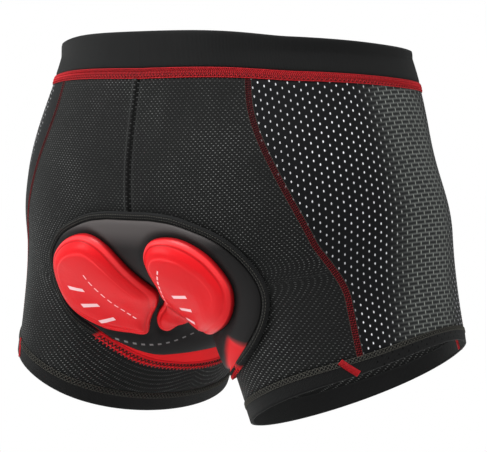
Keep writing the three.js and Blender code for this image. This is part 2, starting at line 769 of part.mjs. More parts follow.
addPiece('waistband', waistBand(0, V_TAPE_TOP, WAISTBAND_ROWS, RAISED, WAISTBAND_WALL), BAND);
addPiece('waist_seam_tape', waistBand(V_TAPE_TOP, V_TAPE_BOTTOM, 1, RAISED, TAPE_WALL), RED_TAPE);
addPiece('front_panel', frontPanel(), CLOTH);
[['left', 1], ['right', -1]].forEach(([name, side]) => {
  addPiece(`back_panel_${name}`, sidePanel(side, backPlaces), CLOTH);
  addPiece(`side_mesh_${name}`, sidePanel(side, sidePlaces), MESH_CLOTH);
  addPiece(`hem_band_${name}`, hemBand(side), BAND);
});
addPiece('pad_base', padBase(), RED_BASE);
addPiece('pad_foam', padFoam(), CHARCOAL_FOAM);
addPiece('pad_binding', padBinding(), BAND);
addPiece('gel_left', gelCushion(GEL_LEFT_OUTLINE, GEL_CENTRE, GEL, 1), RED_GEL);
addPiece('gel_right', gelCushion(GEL_RIGHT_OUTLINE, GEL_CENTRE, GEL, -1), RED_GEL);
addPiece('gel_center', gelCushion(GEL_CENTER_OUTLINE, GEL_CENTER_CENTRE, GEL_CENTER, 1), RED_GEL);

export default shorts;
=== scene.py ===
"""Looks of a pair of padded undershorts, worn and hollow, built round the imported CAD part.

Lengths are in millimetres inside the classes that shape the cloth, and in metres in every mesh.
The wearer faces -Y, the wearer's left is +X, and the origin is the middle of the waistband.
"""

import logging
import math
from collections.abc import Callable
from dataclasses import dataclass, field, replace
from enum import Enum
from typing import Union

import bpy
import numpy as np
from mathutils import Matrix, Vector
from mathutils.kdtree import KDTree


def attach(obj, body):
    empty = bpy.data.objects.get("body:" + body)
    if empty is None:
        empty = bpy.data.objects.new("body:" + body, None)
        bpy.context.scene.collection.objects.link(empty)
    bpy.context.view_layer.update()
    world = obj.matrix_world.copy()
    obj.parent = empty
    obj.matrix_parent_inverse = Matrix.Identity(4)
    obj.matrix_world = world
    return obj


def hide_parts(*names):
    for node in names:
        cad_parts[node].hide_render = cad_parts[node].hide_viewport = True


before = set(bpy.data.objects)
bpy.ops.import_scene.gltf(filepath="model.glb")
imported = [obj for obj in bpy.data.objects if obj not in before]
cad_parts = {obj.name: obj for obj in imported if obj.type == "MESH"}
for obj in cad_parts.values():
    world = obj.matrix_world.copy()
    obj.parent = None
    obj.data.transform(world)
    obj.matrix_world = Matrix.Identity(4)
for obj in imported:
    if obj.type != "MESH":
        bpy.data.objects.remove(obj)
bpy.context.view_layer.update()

Array = np.ndarray
Level = Union[float, Array]
Colour = tuple[float, float, float]
Places = tuple[tuple[float, float], ...]
MM = 0.001
UV_NAME = "cloth"
log = logging.getLogger("undershorts")


# ---- small helpers --------------------------------------------------------------------------


def mix(a: Level, b: Level, t: Level) -> Level:
    """The value a share t of the way from a to b."""
    return a + (b - a) * t


def smooth(t: Level) -> Level:
    """A step from 0 to 1 with soft ends."""
    c = np.clip(t, 0.0, 1.0)
    return c * c * (3 - 2 * c)


def hump(distance: Level, width: float) -> Level:
    """A soft bell that is 1 at no distance and dies away over the width."""
    return np.exp(-((distance / width) ** 2))


def unit(vectors: Array) -> Array:
    """The same directions, one unit long."""
    return vectors / np.maximum(np.linalg.norm(vectors, axis=-1, keepdims=True), 1e-12)


def running_length(points: Array, axis: int) -> Array:
    """Length from the first point along one axis of a grid of points."""
    steps = np.linalg.norm(np.diff(points, axis=axis), axis=-1)
    total = np.cumsum(steps, axis=axis)
    return np.concatenate([np.zeros_like(np.take(total, [0], axis=axis)), total], axis=axis)


def slopes(keys: Array, values: Array) -> Array:
    """Slope of the values at each key, from the keys beside it."""
    count = np.arange(len(keys))
    before, after = np.maximum(count - 1, 0), np.minimum(count + 1, len(keys) - 1)
    return (values[after] - values[before]) / (keys[after] - keys[before])


def hermite(t: Level, start: Level, leaving: Level, end: Level, arriving: Level) -> Level:
    """A curve from start to end that has these slopes there, over t from 0 to 1."""
    return (
        (2 * t**3 - 3 * t**2 + 1) * start + (t**3 - 2 * t**2 + t) * leaving
        + (3 * t**2 - 2 * t**3) * end + (t**3 - t**2) * arriving
    )


def halve(reached: Callable[[Array], Array], low: Array, high: Array, rounds: int = 26) -> Array:
    """Where a condition begins between low and high, by halving the way between them."""
    for _ in range(rounds):
        middle = (low + high) / 2
        there = reached(middle)
        low, high = np.where(there, low, middle), np.where(there, middle, high)
    return (low + high) / 2


def placed(name: str, data: bpy.types.ID) -> bpy.types.Object:
    """A new object in the scene, at the origin."""
    made = bpy.data.objects.new(name, data)
    bpy.context.scene.collection.objects.link(made)
    return made


def mesh_points(mesh: bpy.types.Mesh) -> Array:
    """Places of a mesh's points."""
    found = np.zeros(len(mesh.vertices) * 3)
    mesh.vertices.foreach_get("co", found)
    return found.reshape(-1, 3)


class Side(Enum):
    """The wearer's left or right, as the sign of X."""

    LEFT = 1
    RIGHT = -1

    @property
    def word(self) -> str:
        """The side in small letters, as the pieces are named."""
        return self.name.lower()


class Slot(Enum):
    """Material slots of the part."""

    KNIT = "black_knit"
    MESH = "black_mesh"
    BAND = "band_elastic"
    STITCHING = "red_stitching"
    FABRIC = "red_fabric"
    FOAM = "charcoal_foam"
    GEL = "red_gel"


@dataclass(frozen=True)
class Table:
    """A smooth curve through rows of (key, value)."""

    rows: tuple[tuple[float, float], ...]

    def __call__(self, x: Level) -> Array:
        """The value at x, held level beyond both ends."""
        keys, values = np.array(self.rows, float).T
        slope = slopes(keys, values)
        at = np.clip(np.asarray(x, float), keys[0], keys[-1])
        i = np.clip(np.searchsorted(keys, at, side="left") - 1, 0, len(keys) - 2)
        step = keys[i + 1] - keys[i]
        return hermite((at - keys[i]) / step, values[i], step * slope[i], values[i + 1], step * slope[i + 1])


# ---- the form that the cloth follows --------------------------------------------------------


@dataclass(frozen=True)
class TrunkLevel:
    """Half sizes of the trunk at one height."""

    z: float
    half_width: float
    back: float
    front: float


@dataclass(frozen=True)
class ThighLevel:
    """Place and half sizes of a thigh at one height."""

    z: float
    x: float
    y: float
    half_width: float
    half_depth: float


@dataclass(frozen=True)
class Figure:
    """The general figure that fills the shorts: an oval trunk and two splayed thighs, blended."""

    waist: TrunkLevel = TrunkLevel(6, 146, 105, 105)
    hips: TrunkLevel = TrunkLevel(-87, 174.5, 113.9, 96)
    trunk_drop: float = 101.4
    squareness: float = 2.32
    rounding: float = 2.6
    thigh_top: ThighLevel = ThighLevel(-144, 89.2, -4.3, 100.1, 92.3)
    thigh_hem: ThighLevel = ThighLevel(-294, 137.2, -12.4, 66.2, 101.3)
    fade_start: float = 20
    fade: float = 90
    reach: tuple[float, float] = (-0.6, 1.6)
    probe: float = 0.4

    def thigh_at(self, z: Level) -> tuple[Level, Level, Level, Level]:
        """The thigh's x, y, half width and half depth at a height."""
        top, hem = self.thigh_top, self.thigh_hem
        t = np.clip((top.z - z) / (top.z - hem.z), *self.reach)
        return (
            mix(top.x, hem.x, t),
            mix(top.y, hem.y, t),
            mix(top.half_width, hem.half_width, t),
            mix(top.half_depth, hem.half_depth, t),
        )

    def trunk(self, x: Array, y: Array, z: Array) -> Array:
        """Height over the trunk's surface."""
        t = np.clip((self.waist.z - z) / (self.waist.z - self.hips.z), 0, 1)
        half_width = mix(self.waist.half_width, self.hips.half_width, np.sin(t * math.pi / 2))
        back = mix(self.waist.back, self.hips.back, smooth(t))
        front = mix(self.waist.front, self.hips.front, smooth(t))
        half_depth = (back + front) / 2
        sideways = np.abs(x / half_width) ** self.squareness
        forwards = np.abs((y - (back - front) / 2) / half_depth) ** self.squareness
        oval = (sideways + forwards) ** (1 / self.squareness)
        drop = np.maximum(0, (self.hips.z - z) / self.trunk_drop)
        return (np.sqrt(oval**2 + drop**self.rounding) - 1) * half_depth

    def thigh(self, x: Array, y: Array, z: Array) -> Array:
        """Height over the surface of the thigh on the wearer's left."""
        cx, cy, half_width, half_depth = self.thigh_at(z)
        fade = np.maximum(0, (z - self.thigh_top.z - self.fade_start) / self.fade)
        oval = np.sqrt(((x - cx) / half_width) ** 2 + ((y - cy) / half_depth) ** 2 + fade**2)
        return (oval - 1) * np.minimum(half_width, half_depth)

    def level(self, p: Array, blend: float) -> Array:
        """Below zero inside, above zero outside, and close to a distance near the cloth."""
        x, y, z = p[..., 0], p[..., 1], p[..., 2]
        parts = np.stack([self.trunk(x, y, z), self.thigh(x, y, z), self.thigh(-x, y, z)])
        least = parts.min(axis=0)
        return least - blend * np.log(np.exp((least - parts) / blend).sum(axis=0))

    def normal(self, p: Array, blend: float) -> Array:
        """Outward directions at points."""
        steps = np.eye(3) * self.probe
        return unit(np.stack([self.level(p + e, blend) - self.level(p - e, blend) for e in steps], axis=-1))


@dataclass
class Cloth:
    """Tilted rings over the figure: v is 0 at the waist edge and 1 at the hem edge."""

    figure: Figure = field(default_factory=Figure)
    blend: float = 9.25
    top_z: float = 13.5
    hem_z: float = -301.4
    hem_rise: float = 0.513
    waist_lean: float = 0.042
    hem_lean: float = -0.075
    bend: float = 1.5
    back_arch: float = 3.5
    arch_start: float = 72
    sag: float = 6.0
    sag_turn: float = 45.0
    sag_start: float = 0.7
    sag_sharpness: float = 4.0
    shift: tuple[float, float] = (0.15, 0.6)
    tape: tuple[float, float] = (0.083, 0.107)
    hem_band: float = 0.935
    back_seam: Table = Table(((0.10, 44), (0.35, 43), (0.64, 46.5), (0.94, 51)))
    front_seam: Table = Table(((0.10, -44), (0.35, -43), (0.64, -46), (0.94, -50)))
    march: float = 3.0
    reach: float = 200.0
    crotch_between: tuple[float, float] = (0.55, 0.8)
    crotch: float = 0.0

    def __post_init__(self) -> None:
        """Finds the ring that just touches the crotch."""
        low, high = (np.array([v]) for v in self.crotch_between)
        self.crotch = float(halve(lambda v: np.isnan(self.ends(v)[0]), low, high, 30)[0])

    def on_plane(self, v: Array, x: Array, y: Array) -> Array:
        """Points at x, y on the tilted planes of rings v."""
        tilt = v**self.bend
        rise, lean = self.hem_rise * tilt, mix(self.waist_lean, self.hem_lean, tilt)
        start = self.arch_start
        arch = self.back_arch * (1 - v) ** 3 * smooth((y - start) / (self.figure.waist.back - start))
        hem = self.figure.thigh_hem
        turn = np.arctan2((y - hem.y) / hem.half_depth, (x - hem.x) / hem.half_width)
        near = np.maximum(0, np.cos(turn - math.radians(self.sag_turn))) ** self.sag_sharpness
        sag = self.sag * smooth((v - self.sag_start) / (1 - self.sag_start)) * near
        z = mix(self.top_z, self.hem_z, v) + rise * x + lean * y + arch - sag
        return np.stack(np.broadcast_arrays(x, y, z), axis=-1)

    def ends(self, v: Array) -> tuple[Array, Array]:
        """Where rings meet the middle of the body, front and back, or nan below the crotch."""
        y = np.arange(-self.reach, self.reach + 1)

        def level(at: Array) -> Array:
            """Height of points in the middle of the body."""
            rows = v.reshape(v.shape + (1,) * (at.ndim - 1))
            return self.figure.level(self.on_plane(rows, np.zeros_like(at), at), self.blend)

        inside = level(np.broadcast_to(y, v.shape + y.shape)) < 0
        none = ~inside.any(axis=1)
        first, last = inside.argmax(axis=1), inside.shape[1] - 1 - inside[:, ::-1].argmax(axis=1)
        edges = ((y[first] - 1, y[first]), (y[last] + 1, y[last]))
        found = (halve(lambda at: level(at) < 0, out, into, 30) for out, into in edges)
        front, back = (np.where(none, np.nan, place) for place in found)
        return front, back

    def rings(self, v: Array) -> dict[str, Array]:
        """Centres on the wearer's left, end places and end angles of rings v."""
        tilt = v**self.bend
        height = mix(self.top_z, self.hem_z, v) + self.hem_rise * tilt * self.figure.thigh_top.x
        cx, cy, _, _ = self.figure.thigh_at(np.minimum(height, self.figure.thigh_top.z))
        moved = smooth((v - self.shift[0]) / self.shift[1])
        x, y = cx * moved, cy * moved
        front, back = self.ends(v)
        below = np.isnan(front) | (v >= self.crotch)
        front_angle = np.where(below, -math.pi, np.arctan2(np.nan_to_num(front) - y, -x))
        back_angle = np.where(below, math.pi, np.arctan2(np.nan_to_num(back) - y, -x))
        return {
            "x": x, "y": y, "front_y": front, "back_y": back, "split": below,
            "front": front_angle, "back": back_angle,
        }

    def seam(self, v: Array, table: Table) -> Array:
        """Angles of a side seam on rings v."""
        return np.radians(table(v))

    def points(self, v: Array, angles: Array, side: Side = Side.LEFT) -> Array:
        """Points of the cloth, one row for each ring of v and one column for each of its angles."""
        ring = self.rings(v)
        rows = v[:, None]
        cx, cy = ring["x"][:, None], ring["y"][:, None]
        dx, dy = np.cos(angles), np.sin(angles)
        with np.errstate(divide="ignore", invalid="ignore"):
            limit = np.where(dx < -1e-9, cx / -dx, 300.0)

        def outside(r: Array) -> Array:
            """Whether points this far from the centres are outside."""
            return self.figure.level(self.on_plane(rows, cx + dx * r, cy + dy * r), self.blend) > 0

        r = np.full(angles.shape, 2.0)
        for _ in range(100):
            going = (r < limit) & ~outside(r)
            if not going.any():
                break
            r = np.where(going, r + self.march, r)
        hit = halve(outside, np.maximum(0, r - self.march), np.minimum(r, limit))
        x, y = cx + dx * hit, cy + dy * hit
        for name in ("front", "back"):
            at_end = np.isclose(angles, ring[name][:, None], atol=1e-9) & ~ring["split"][:, None]
            x = np.where(at_end, 0.0, x)
            y = np.where(at_end, np.nan_to_num(ring[name + "_y"])[:, None], y)
        points = self.on_plane(rows, x, y)
        points[..., 0] *= side.value
        return points

    def normals(self, points: Array) -> Array:
        """Outward directions of the cloth at points."""
        return self.figure.normal(points, self.blend)


@dataclass
class SeatMap:
    """Places on the seat: s along the crotch curve from the waist seam, t sideways along the body."""

    cloth: Cloth
    blend: float = 22.0
    seam_z: float = -24.0
    step: float = 2.0
    steps: int = 66
    lean: tuple[float, float, float] = (-12.0, 122.0, 214.0)
    first: float = 40.0
    last: float = 420.0
    hub: tuple[float, float, float] = (0.0, 0.0, -89.0)
    sweep: tuple[float, float, float] = (57.0, -240.0, -0.125)
    lines: Array = field(default_factory=lambda: np.zeros(0))

    def __post_init__(self) -> None:
        """Walks sideways from every millimetre of the crotch curve."""
        figure, narrow = self.cloth.figure, self.cloth.blend
        angles = np.radians(np.arange(*self.sweep))
        centre = np.array(self.hub)
        rays = np.stack([np.zeros_like(angles), np.cos(angles), np.sin(angles)], axis=-1)
        r = np.full(angles.shape, 20.0)
        for _ in range(60):
            r = np.where(figure.level(centre + rays * r[:, None], narrow) < 0, r + 4, r)
        far = halve(lambda at: figure.level(centre + rays * at[:, None], narrow) > 0, r - 4, r)
        curve = centre + rays * far[:, None]
        curve = curve[np.argmax(curve[:, 2] < self.seam_z):]
        lengths = running_length(curve, 0)
        s = np.arange(self.first, self.last + 1)
        point = np.stack([np.interp(s, lengths, curve[:, k]) for k in range(3)], axis=-1)
        sideways = np.array([1.0, 0.0, 0.0])
        across = unit(figure.normal(point, narrow) * np.array([0.0, 1.0, 1.0]))
        lines = [point]
        for _ in range(self.steps):
            normal = figure.normal(point, narrow)
            flat = unit(np.stack([normal[:, 0], (normal * across).sum(axis=1)], axis=-1))
            point = point + (sideways * flat[:, 1:] - across * flat[:, :1]) * self.step
            ahead = sideways * flat[:, :1] + across * flat[:, 1:]
            slope = (figure.level(point + ahead, narrow) - figure.level(point - ahead, narrow)) / 2
            point = point - ahead * (figure.level(point, narrow) / slope)[:, None]
            lines.append(point)
        self.lines = np.stack(lines, axis=1)

    def leaning(self, s: Array) -> Array:
        """How far the lower back lobe sits towards the right leg."""
        amount, start, end = self.lean
        t = np.clip((s - start) / (end - start), 0, 1)
        return amount * np.sin(math.pi * t) ** 2

    def points(self, s: Array, t: Array) -> Array:
        """Points on the cloth at s, t, where t > 0 is the wearer's left."""
        sideways = t + self.leaning(s)
        row = np.clip(s - self.first, 0, self.lines.shape[0] - 1.001)
        column = np.clip(np.abs(sideways) / self.step, 0, self.lines.shape[1] - 1.001)
        i, j = np.floor(row).astype(int), np.floor(column).astype(int)
        a, b = (row - i)[..., None], (column - j)[..., None]
        near = mix(self.lines[i, j], self.lines[i, j + 1], b)
        far = mix(self.lines[i + 1, j], self.lines[i + 1, j + 1], b)
        found = mix(near, far, a)
        found[..., 0] *= np.where(sideways < 0, -1.0, 1.0)
        return found

    def normals(self, points: Array) -> Array:
        """Outward directions of the pad at points."""
        return self.cloth.figure.normal(points, self.blend)


# ---- meshes ---------------------------------------------------------------------------------


@dataclass
class Grid:
    """Rows and columns of points with outward normals, a flat map and marks at each point."""

    points: Array
    normals: Array
    flat: Array
    marks: dict[str, Array] = field(default_factory=dict)


@dataclass
class Sheet:
    """A surface of four-sided faces, welded from one or more grids."""

    points: Array
    normals: Array
    faces: Array
    flat: Array
    marks: dict[str, Array]

    @classmethod
    def weld(cls, grids: list[Grid]) -> "Sheet":
        """Joins grids where their points meet.

        Args:
            grids: The grids, whose marks have the same names.

        Returns:
            One sheet whose faces all look outwards.
        """
        quads, flats, start = [], [], 0
        for grid in grids:
            rows, columns = grid.points.shape[:2]
            number = start + np.arange(rows * columns).reshape(rows, columns)
            corners = (number[:-1, :-1], number[1:, :-1], number[1:, 1:], number[:-1, 1:])
            quads.append(np.stack(corners, axis=-1).reshape(-1, 4))
            flat = grid.flat
            places = (flat[:-1, :-1], flat[1:, :-1], flat[1:, 1:], flat[:-1, 1:])
            flats.append(np.stack(places, axis=-2).reshape(-1, 4, 2))
            start += rows * columns
        points = np.concatenate([g.points.reshape(-1, 3) for g in grids])
        normals = np.concatenate([g.normals.reshape(-1, 3) for g in grids])
        _, kept, back = np.unique(np.round(points, 3), axis=0, return_index=True, return_inverse=True)
        marks = {
            name: np.concatenate([g.marks[name].reshape(-1) for g in grids])[kept]
            for name in grids[0].marks
        }
        faces, flat = back.reshape(-1)[np.concatenate(quads)], np.concatenate(flats)
        sheet = cls(points[kept], normals[kept], faces, flat, marks)
        sheet.face_outwards()
        return sheet

    def face_outwards(self) -> None:
        """Turns each face that looks against its normals, and drops faces with no area."""
        corner = self.points[self.faces]
        looks = np.cross(corner[:, 2] - corner[:, 0], corner[:, 3] - corner[:, 1])
        agree = (looks * self.normals[self.faces].sum(axis=1)).sum(axis=1)
        wrong = agree < 0
        self.faces[wrong] = self.faces[wrong][:, ::-1]
        self.flat[wrong] = self.flat[wrong][:, ::-1]
        distinct = np.array([len(set(face)) for face in self.faces])
        self.faces, self.flat = self.faces[distinct > 2], self.flat[distinct > 2]

    def rim(self) -> tuple[Array, Array, Array]:
        """Open edges as point pairs, with the faces and corners they come from."""
        starts = self.faces.reshape(-1)
        ends = np.roll(self.faces, -1, axis=1).reshape(-1)
        face = np.repeat(np.arange(len(self.faces)), 4)
        corner = np.tile(np.arange(4), len(self.faces))
        count = len(self.points)
        forward, backward = starts * count + ends, ends * count + starts
        free = ~np.isin(forward, backward) & (starts != ends)
        return np.stack([starts[free], ends[free]], axis=-1), face[free], corner[free]


@dataclass
class Shell:
    """A closed wall over a sheet."""

    name: str
    sheet: Sheet
    outer: Level
    inner: Level
    roll: float = 0.0

    def build(self, material: bpy.types.Material) -> bpy.types.Object:
        """Makes the mesh object.

        Args:
            material: The finish of the whole piece.

        Returns:
            The new object, at the origin, in metres.
        """
        sheet = self.sheet
        count = len(sheet.points)
        over = np.broadcast_to(np.asarray(self.outer, float), (count,))[:, None]
        under = np.broadcast_to(np.asarray(self.inner, float), (count,))[:, None]
        outer, inner = sheet.points + sheet.normals * over, sheet.points + sheet.normals * under
        edges, face, corner = sheet.rim()
        along = sheet.points[edges[:, 1]] - sheet.points[edges[:, 0]]
        away = np.zeros((count, 3))
        for k in (0, 1):
            np.add.at(away, edges[:, k], unit(np.cross(along, sheet.normals[edges[:, k]])))
        border = np.unique(edges)
        place = np.full(count, -1)
        place[border] = 2 * count + np.arange(len(border))
        middle = (outer[border] + inner[border]) / 2 + unit(away[border]) * self.roll
        points = np.concatenate([outer, inner, middle])
        i, j = edges[:, 0], edges[:, 1]
        flat_i, flat_j = sheet.flat[face, corner], sheet.flat[face, (corner + 1) % 4]
        walls = [
            np.stack([j, i, place[i], place[j]], axis=-1),
            np.stack([place[j], place[i], i + count, j + count], axis=-1),
        ]
        wall_flat = np.stack([flat_j, flat_i, flat_i, flat_j], axis=1)
        faces = np.concatenate([sheet.faces, sheet.faces[:, ::-1] + count, *walls])
        flat = np.concatenate([sheet.flat, sheet.flat[:, ::-1], wall_flat, wall_flat])
        marks = {
            name: np.concatenate([mark, mark, mark[border]]) for name, mark in sheet.marks.items()
        }
        return mesh_object(self.name, points, faces, flat, marks, material)


def mesh_object(
    name: str,
    points: Array,
    faces: Array,
    flat: Array,
    marks: dict[str, Array],
    material: bpy.types.Material,
) -> bpy.types.Object:
    """Makes an object from arrays.

    Args:
        name: The piece's name.
        points: Places in millimetres.
        faces: Four corner numbers each, with a number repeated where a face has three corners.
        flat: The flat map of each corner, in millimetres.
        marks: Numbers kept at each point, as attributes.
        material: The finish of the whole piece.

    Returns:
        The object, linked to the scene.
    """
    corners, places = [], []
    for face, flats in zip(faces.tolist(), flat.tolist()):
        keep = [k for k in range(4) if face[k] != face[k - 1]]
        corners.append([face[k] for k in keep])
        places.extend(flats[k] for k in keep)
    mesh = bpy.data.meshes.new(name)
    mesh.from_pydata((points * MM).tolist(), [], corners)
    layer = mesh.uv_layers.new(name=UV_NAME)
    layer.data.foreach_set("uv", (np.array(places, np.float32) * MM).ravel())
    for title, values in marks.items():
        attribute = mesh.attributes.new(title, "FLOAT", "POINT")
        attribute.data.foreach_set("value", np.asarray(values, np.float32))
    mesh.shade_smooth()
    mesh.materials.append(material)
    return placed(name, mesh)


def own(piece: bpy.types.Object, slot: Slot, *nodes: str) -> bpy.types.Object:
    """Says what a finished piece rides on, hides the CAD nodes it stands for and logs its size."""
    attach(piece, "root")
    if nodes:
        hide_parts(*nodes)
    faces = piece.data.polygons
    log.info("%s: %d faces, %.4f m2 on one side", piece.name, len(faces), sum(f.area for f in faces) / 2)
    return piece


@dataclass(frozen=True)
class Cut:
    """The worn extents of a sheet in metres, all round on a tube."""

    width: float
    length: float
    area: float
    rests_on: tuple[str, ...] = ()


@dataclass(frozen=True)
class Swelling:
    """A short cloth simulation that swells a padded piece, read back onto its fine mesh."""

    voxel: float = 0.005
    pressure: float = 4.0
    frames: int = 20
    cap: float = 0.0014
    near: int = 6

    def rough_copy(self, piece: bpy.types.Object) -> bpy.types.Object:
        """The piece as an even, coarse mesh."""
        source = placed("swelling", piece.data.copy())
        remesh = source.modifiers.new("remesh", "REMESH")
        remesh.mode = "VOXEL"
        remesh.voxel_size = self.voxel
        graph = bpy.context.evaluated_depsgraph_get()
        mesh = bpy.data.meshes.new_from_object(source.evaluated_get(graph))
        source.modifiers.remove(remesh)
        source.data = mesh
        return source

    def simulate(self, rough: bpy.types.Object) -> tuple[Array, Array]:
        """Places of the rough mesh before and after swelling."""
        before = mesh_points(rough.data)
        cloth = rough.modifiers.new("cloth", "CLOTH")
        cloth.settings.use_pressure = True
        cloth.settings.uniform_pressure_force = self.pressure
        cloth.settings.effector_weights.gravity = 0
        cloth.point_cache.frame_end = self.frames
        for number in range(1, self.frames + 1):
            bpy.context.scene.frame_set(number)
        graph = bpy.context.evaluated_depsgraph_get()
        mesh = bpy.data.meshes.new_from_object(rough.evaluated_get(graph))
        after = mesh_points(mesh)
        rough.modifiers.remove(cloth)
        bpy.data.objects.remove(rough)
        bpy.context.scene.frame_set(1)
        return before, after

    def apply(self, piece: bpy.types.Object, outwards: Array, share: Array) -> None:
        """Moves the outer points of a piece as the simulation moves its coarse copy.

        Args:
            piece: The piece, whose first points are the outer ones.
            outwards: Outward direction of each outer point.
            share: How far each outer point may follow, from 0 at the rim to 1.
        """
        before, after = self.simulate(self.rough_copy(piece))
        tree = KDTree(len(before))
        for k, place in enumerate(before):
            tree.insert(place, k)
        tree.balance()
        points = mesh_points(piece.data)
        for k, (direction, part) in enumerate(zip(outwards, share)):
            found = tree.find_n(points[k], self.near)
            weights = np.array([1.0 / (distance + self.voxel / 4) for _, _, distance in found])
            rows = [index for _, index, _ in found]
            moved = ((after[rows] - before[rows]) * weights[:, None]).sum(axis=0) / weights.sum()
            points[k] += direction * part * np.clip(moved @ direction, 0.0, self.cap)
        piece.data.vertices.foreach_set("co", points.ravel())
        piece.data.update()


# ---- shader maths ---------------------------------------------------------------------------


class Value:
    """A number in a material, with Python's operators."""

    def __init__(self, maker: "Maker", socket: bpy.types.NodeSocket) -> None:
        """Wraps an output socket."""
        self.maker = maker
        self.socket = socket

    def math(self, operation: str, *others: "Number") -> "Value":
        """A Math node on this value and others."""
        inputs = {k: other for k, other in enumerate((self, *others))}
        node = self.maker.make("ShaderNodeMath", {"operation": operation}, inputs)
        return Value(self.maker, node.outputs[0])

    def __add__(self, other: "Number") -> "Value":
        """Sum."""
        return self.math("ADD", other)

    def __sub__(self, other: "Number") -> "Value":
        """Difference."""
        return self.math("SUBTRACT", other)

    def __mul__(self, other: "Number") -> "Value":
        """Product."""
        return self.math("MULTIPLY", other)

    def __truediv__(self, other: "Number") -> "Value":
        """Quotient."""
        return self.math("DIVIDE", other)

    def __radd__(self, other: float) -> "Value":
        """Sum, with the number first."""
        return self.math("ADD", other)

    def __rsub__(self, other: float) -> "Value":
        """Difference, with the number first."""
        return self.number(other).math("SUBTRACT", self)

    def number(self, value: float) -> "Value":
        """A constant as a value of the same material."""
        node = self.maker.make("ShaderNodeMath", {"operation": "ADD"}, {0: value, 1: 0.0})
        return Value(self.maker, node.outputs[0])


Number = Union[Value, float]


class Maker:
    """Builds the nodes of one material."""

    def __init__(self, name: str) -> None:
        """Starts a material with a Principled shader."""
        self.material = bpy.data.materials.new(name)
        self.material.use_nodes = True
        self.tree = self.material.node_tree
        self.shader = self.tree.nodes["Principled BSDF"]

    def make(self, kind: str, settings: dict, inputs: dict) -> bpy.types.Node:
        """Adds a node.

        Args:
            kind: The node's type.
            settings: Properties of the node, set first.
            inputs: Values or links of its sockets, by name or number.

        Returns:
            The node.
        """
        node = self.tree.nodes.new(kind)
        for key, value in settings.items():
            setattr(node, key, value)
        for key, value in inputs.items():
            self.plug(node.inputs[key], value)
        return node

    def plug(self, socket: bpy.types.NodeSocket, value: object) -> None:
        """Links a value or an output to a socket, or sets the socket to a constant."""
        if isinstance(value, Value):
            self.tree.links.new(value.socket, socket)
        elif isinstance(value, bpy.types.NodeSocket):
            self.tree.links.new(value, socket)
        elif isinstance(value, tuple) and socket.type == "RGBA":
            socket.default_value = (*value, 1.0)
        else:
            socket.default_value = value

    def flat_map(self) -> tuple[Value, Value]:
        """The piece's flat map, in millimetres."""
        uv = self.make("ShaderNodeUVMap", {"uv_map": UV_NAME}, {})
        split = self.make("ShaderNodeSeparateXYZ", {}, {0: uv.outputs[0]})
        return Value(self, split.outputs[0]) * 1000.0, Value(self, split.outputs[1]) * 1000.0

    def place(self) -> bpy.types.NodeSocket:
        """The place in the object's own frame, in metres."""
        return self.make("ShaderNodeTexCoord", {}, {}).outputs["Object"]

    def mark(self, name: str) -> Value:
        """A number kept at each point of the mesh."""
        node = self.make("ShaderNodeAttribute", {"attribute_name": name}, {})
        return Value(self, node.outputs["Fac"])

    def noise(self, scale: float, detail: float = 2.0) -> Value:
        """Soft noise in the object's frame, from 0 to 1."""
        inputs = {"Vector": self.place(), "Scale": scale, "Detail": detail}
        return Value(self, self.make("ShaderNodeTexNoise", {}, inputs).outputs[0])

    def rise(self, value: Value, low: float, high: float, first: float = 0.0, last: float = 1.0) -> Value:
        """A soft step of a value between two limits."""
        inputs = {0: value, 1: low, 2: high, 3: first, 4: last}
        node = self.make("ShaderNodeMapRange", {"interpolation_type": "SMOOTHSTEP"}, inputs)
        return Value(self, node.outputs[0])

    def colours(self, factor: Value, first: object, second: object) -> bpy.types.NodeSocket:
        """A mix of two colours."""
        node = self.make("ShaderNodeMix", {"data_type": "RGBA"}, {0: factor, 6: first, 7: second})
        return node.outputs[2]

    def base(self, colour: object) -> None:
        """Feeds the shader's base colour."""
        self.plug(self.shader.inputs["Base Color"], colour)

    def bump(self, height: Value, distance: float, strength: float = 1.0) -> None:
        """Feeds the shader's normal from a height in units of the distance, in metres."""
        inputs = {"Height": height, "Distance": distance, "Strength": strength}
        self.plug(self.shader.inputs["Normal"], self.make("ShaderNodeBump", {}, inputs).outputs[0])

    def ovals(self, u: Value, v: Value, pitch: tuple[float, float], half: tuple[float, float]) -> Value:
        """Distance from the nearest of staggered ovals, 1 on their edge.

        Args:
            u: Place along a row, in millimetres.
            v: Place down the cloth, in millimetres.
            pitch: Distance between ovals in a row, and between rows.
            half: Half width and half height of an oval.

        Returns:
            A value that is 0 in the middle of an oval.
        """
        row = (v / pitch[1]).math("FLOOR")
        along = ((u / pitch[0] + row * 0.5).math("FRACT") - 0.5) * (pitch[0] / half[0])
        down = ((v / pitch[1]).math("FRACT") - 0.5) * (pitch[1] / half[1])
        return (along * along + down * down).math("SQRT")


@dataclass(frozen=True)
class Finish:
    """Even settings of a fabric's shader."""

    name: str
    roughness: float = 0.8
    sheen: float = 0.3
    sheen_roughness: float = 0.45
    sheen_tint: Colour = (0.8, 0.84, 0.82)
    specular: float = 0.3
    coat: float = 0.0

    def start(self) -> Maker:
        """A material with the even settings made, for its pattern to be added."""
        maker = Maker(self.name)
        values = {
            "Roughness": self.roughness,
            "Sheen Weight": self.sheen,
            "Sheen Roughness": self.sheen_roughness,
            "Sheen Tint": self.sheen_tint,
            "Specular IOR Level": self.specular,
            "Coat Weight": self.coat,
        }
        for key, value in values.items():
            maker.plug(maker.shader.inputs[key], value)
        return maker

    def paint(self) -> bpy.types.Material:
        """The finished material."""
        raise NotImplementedError


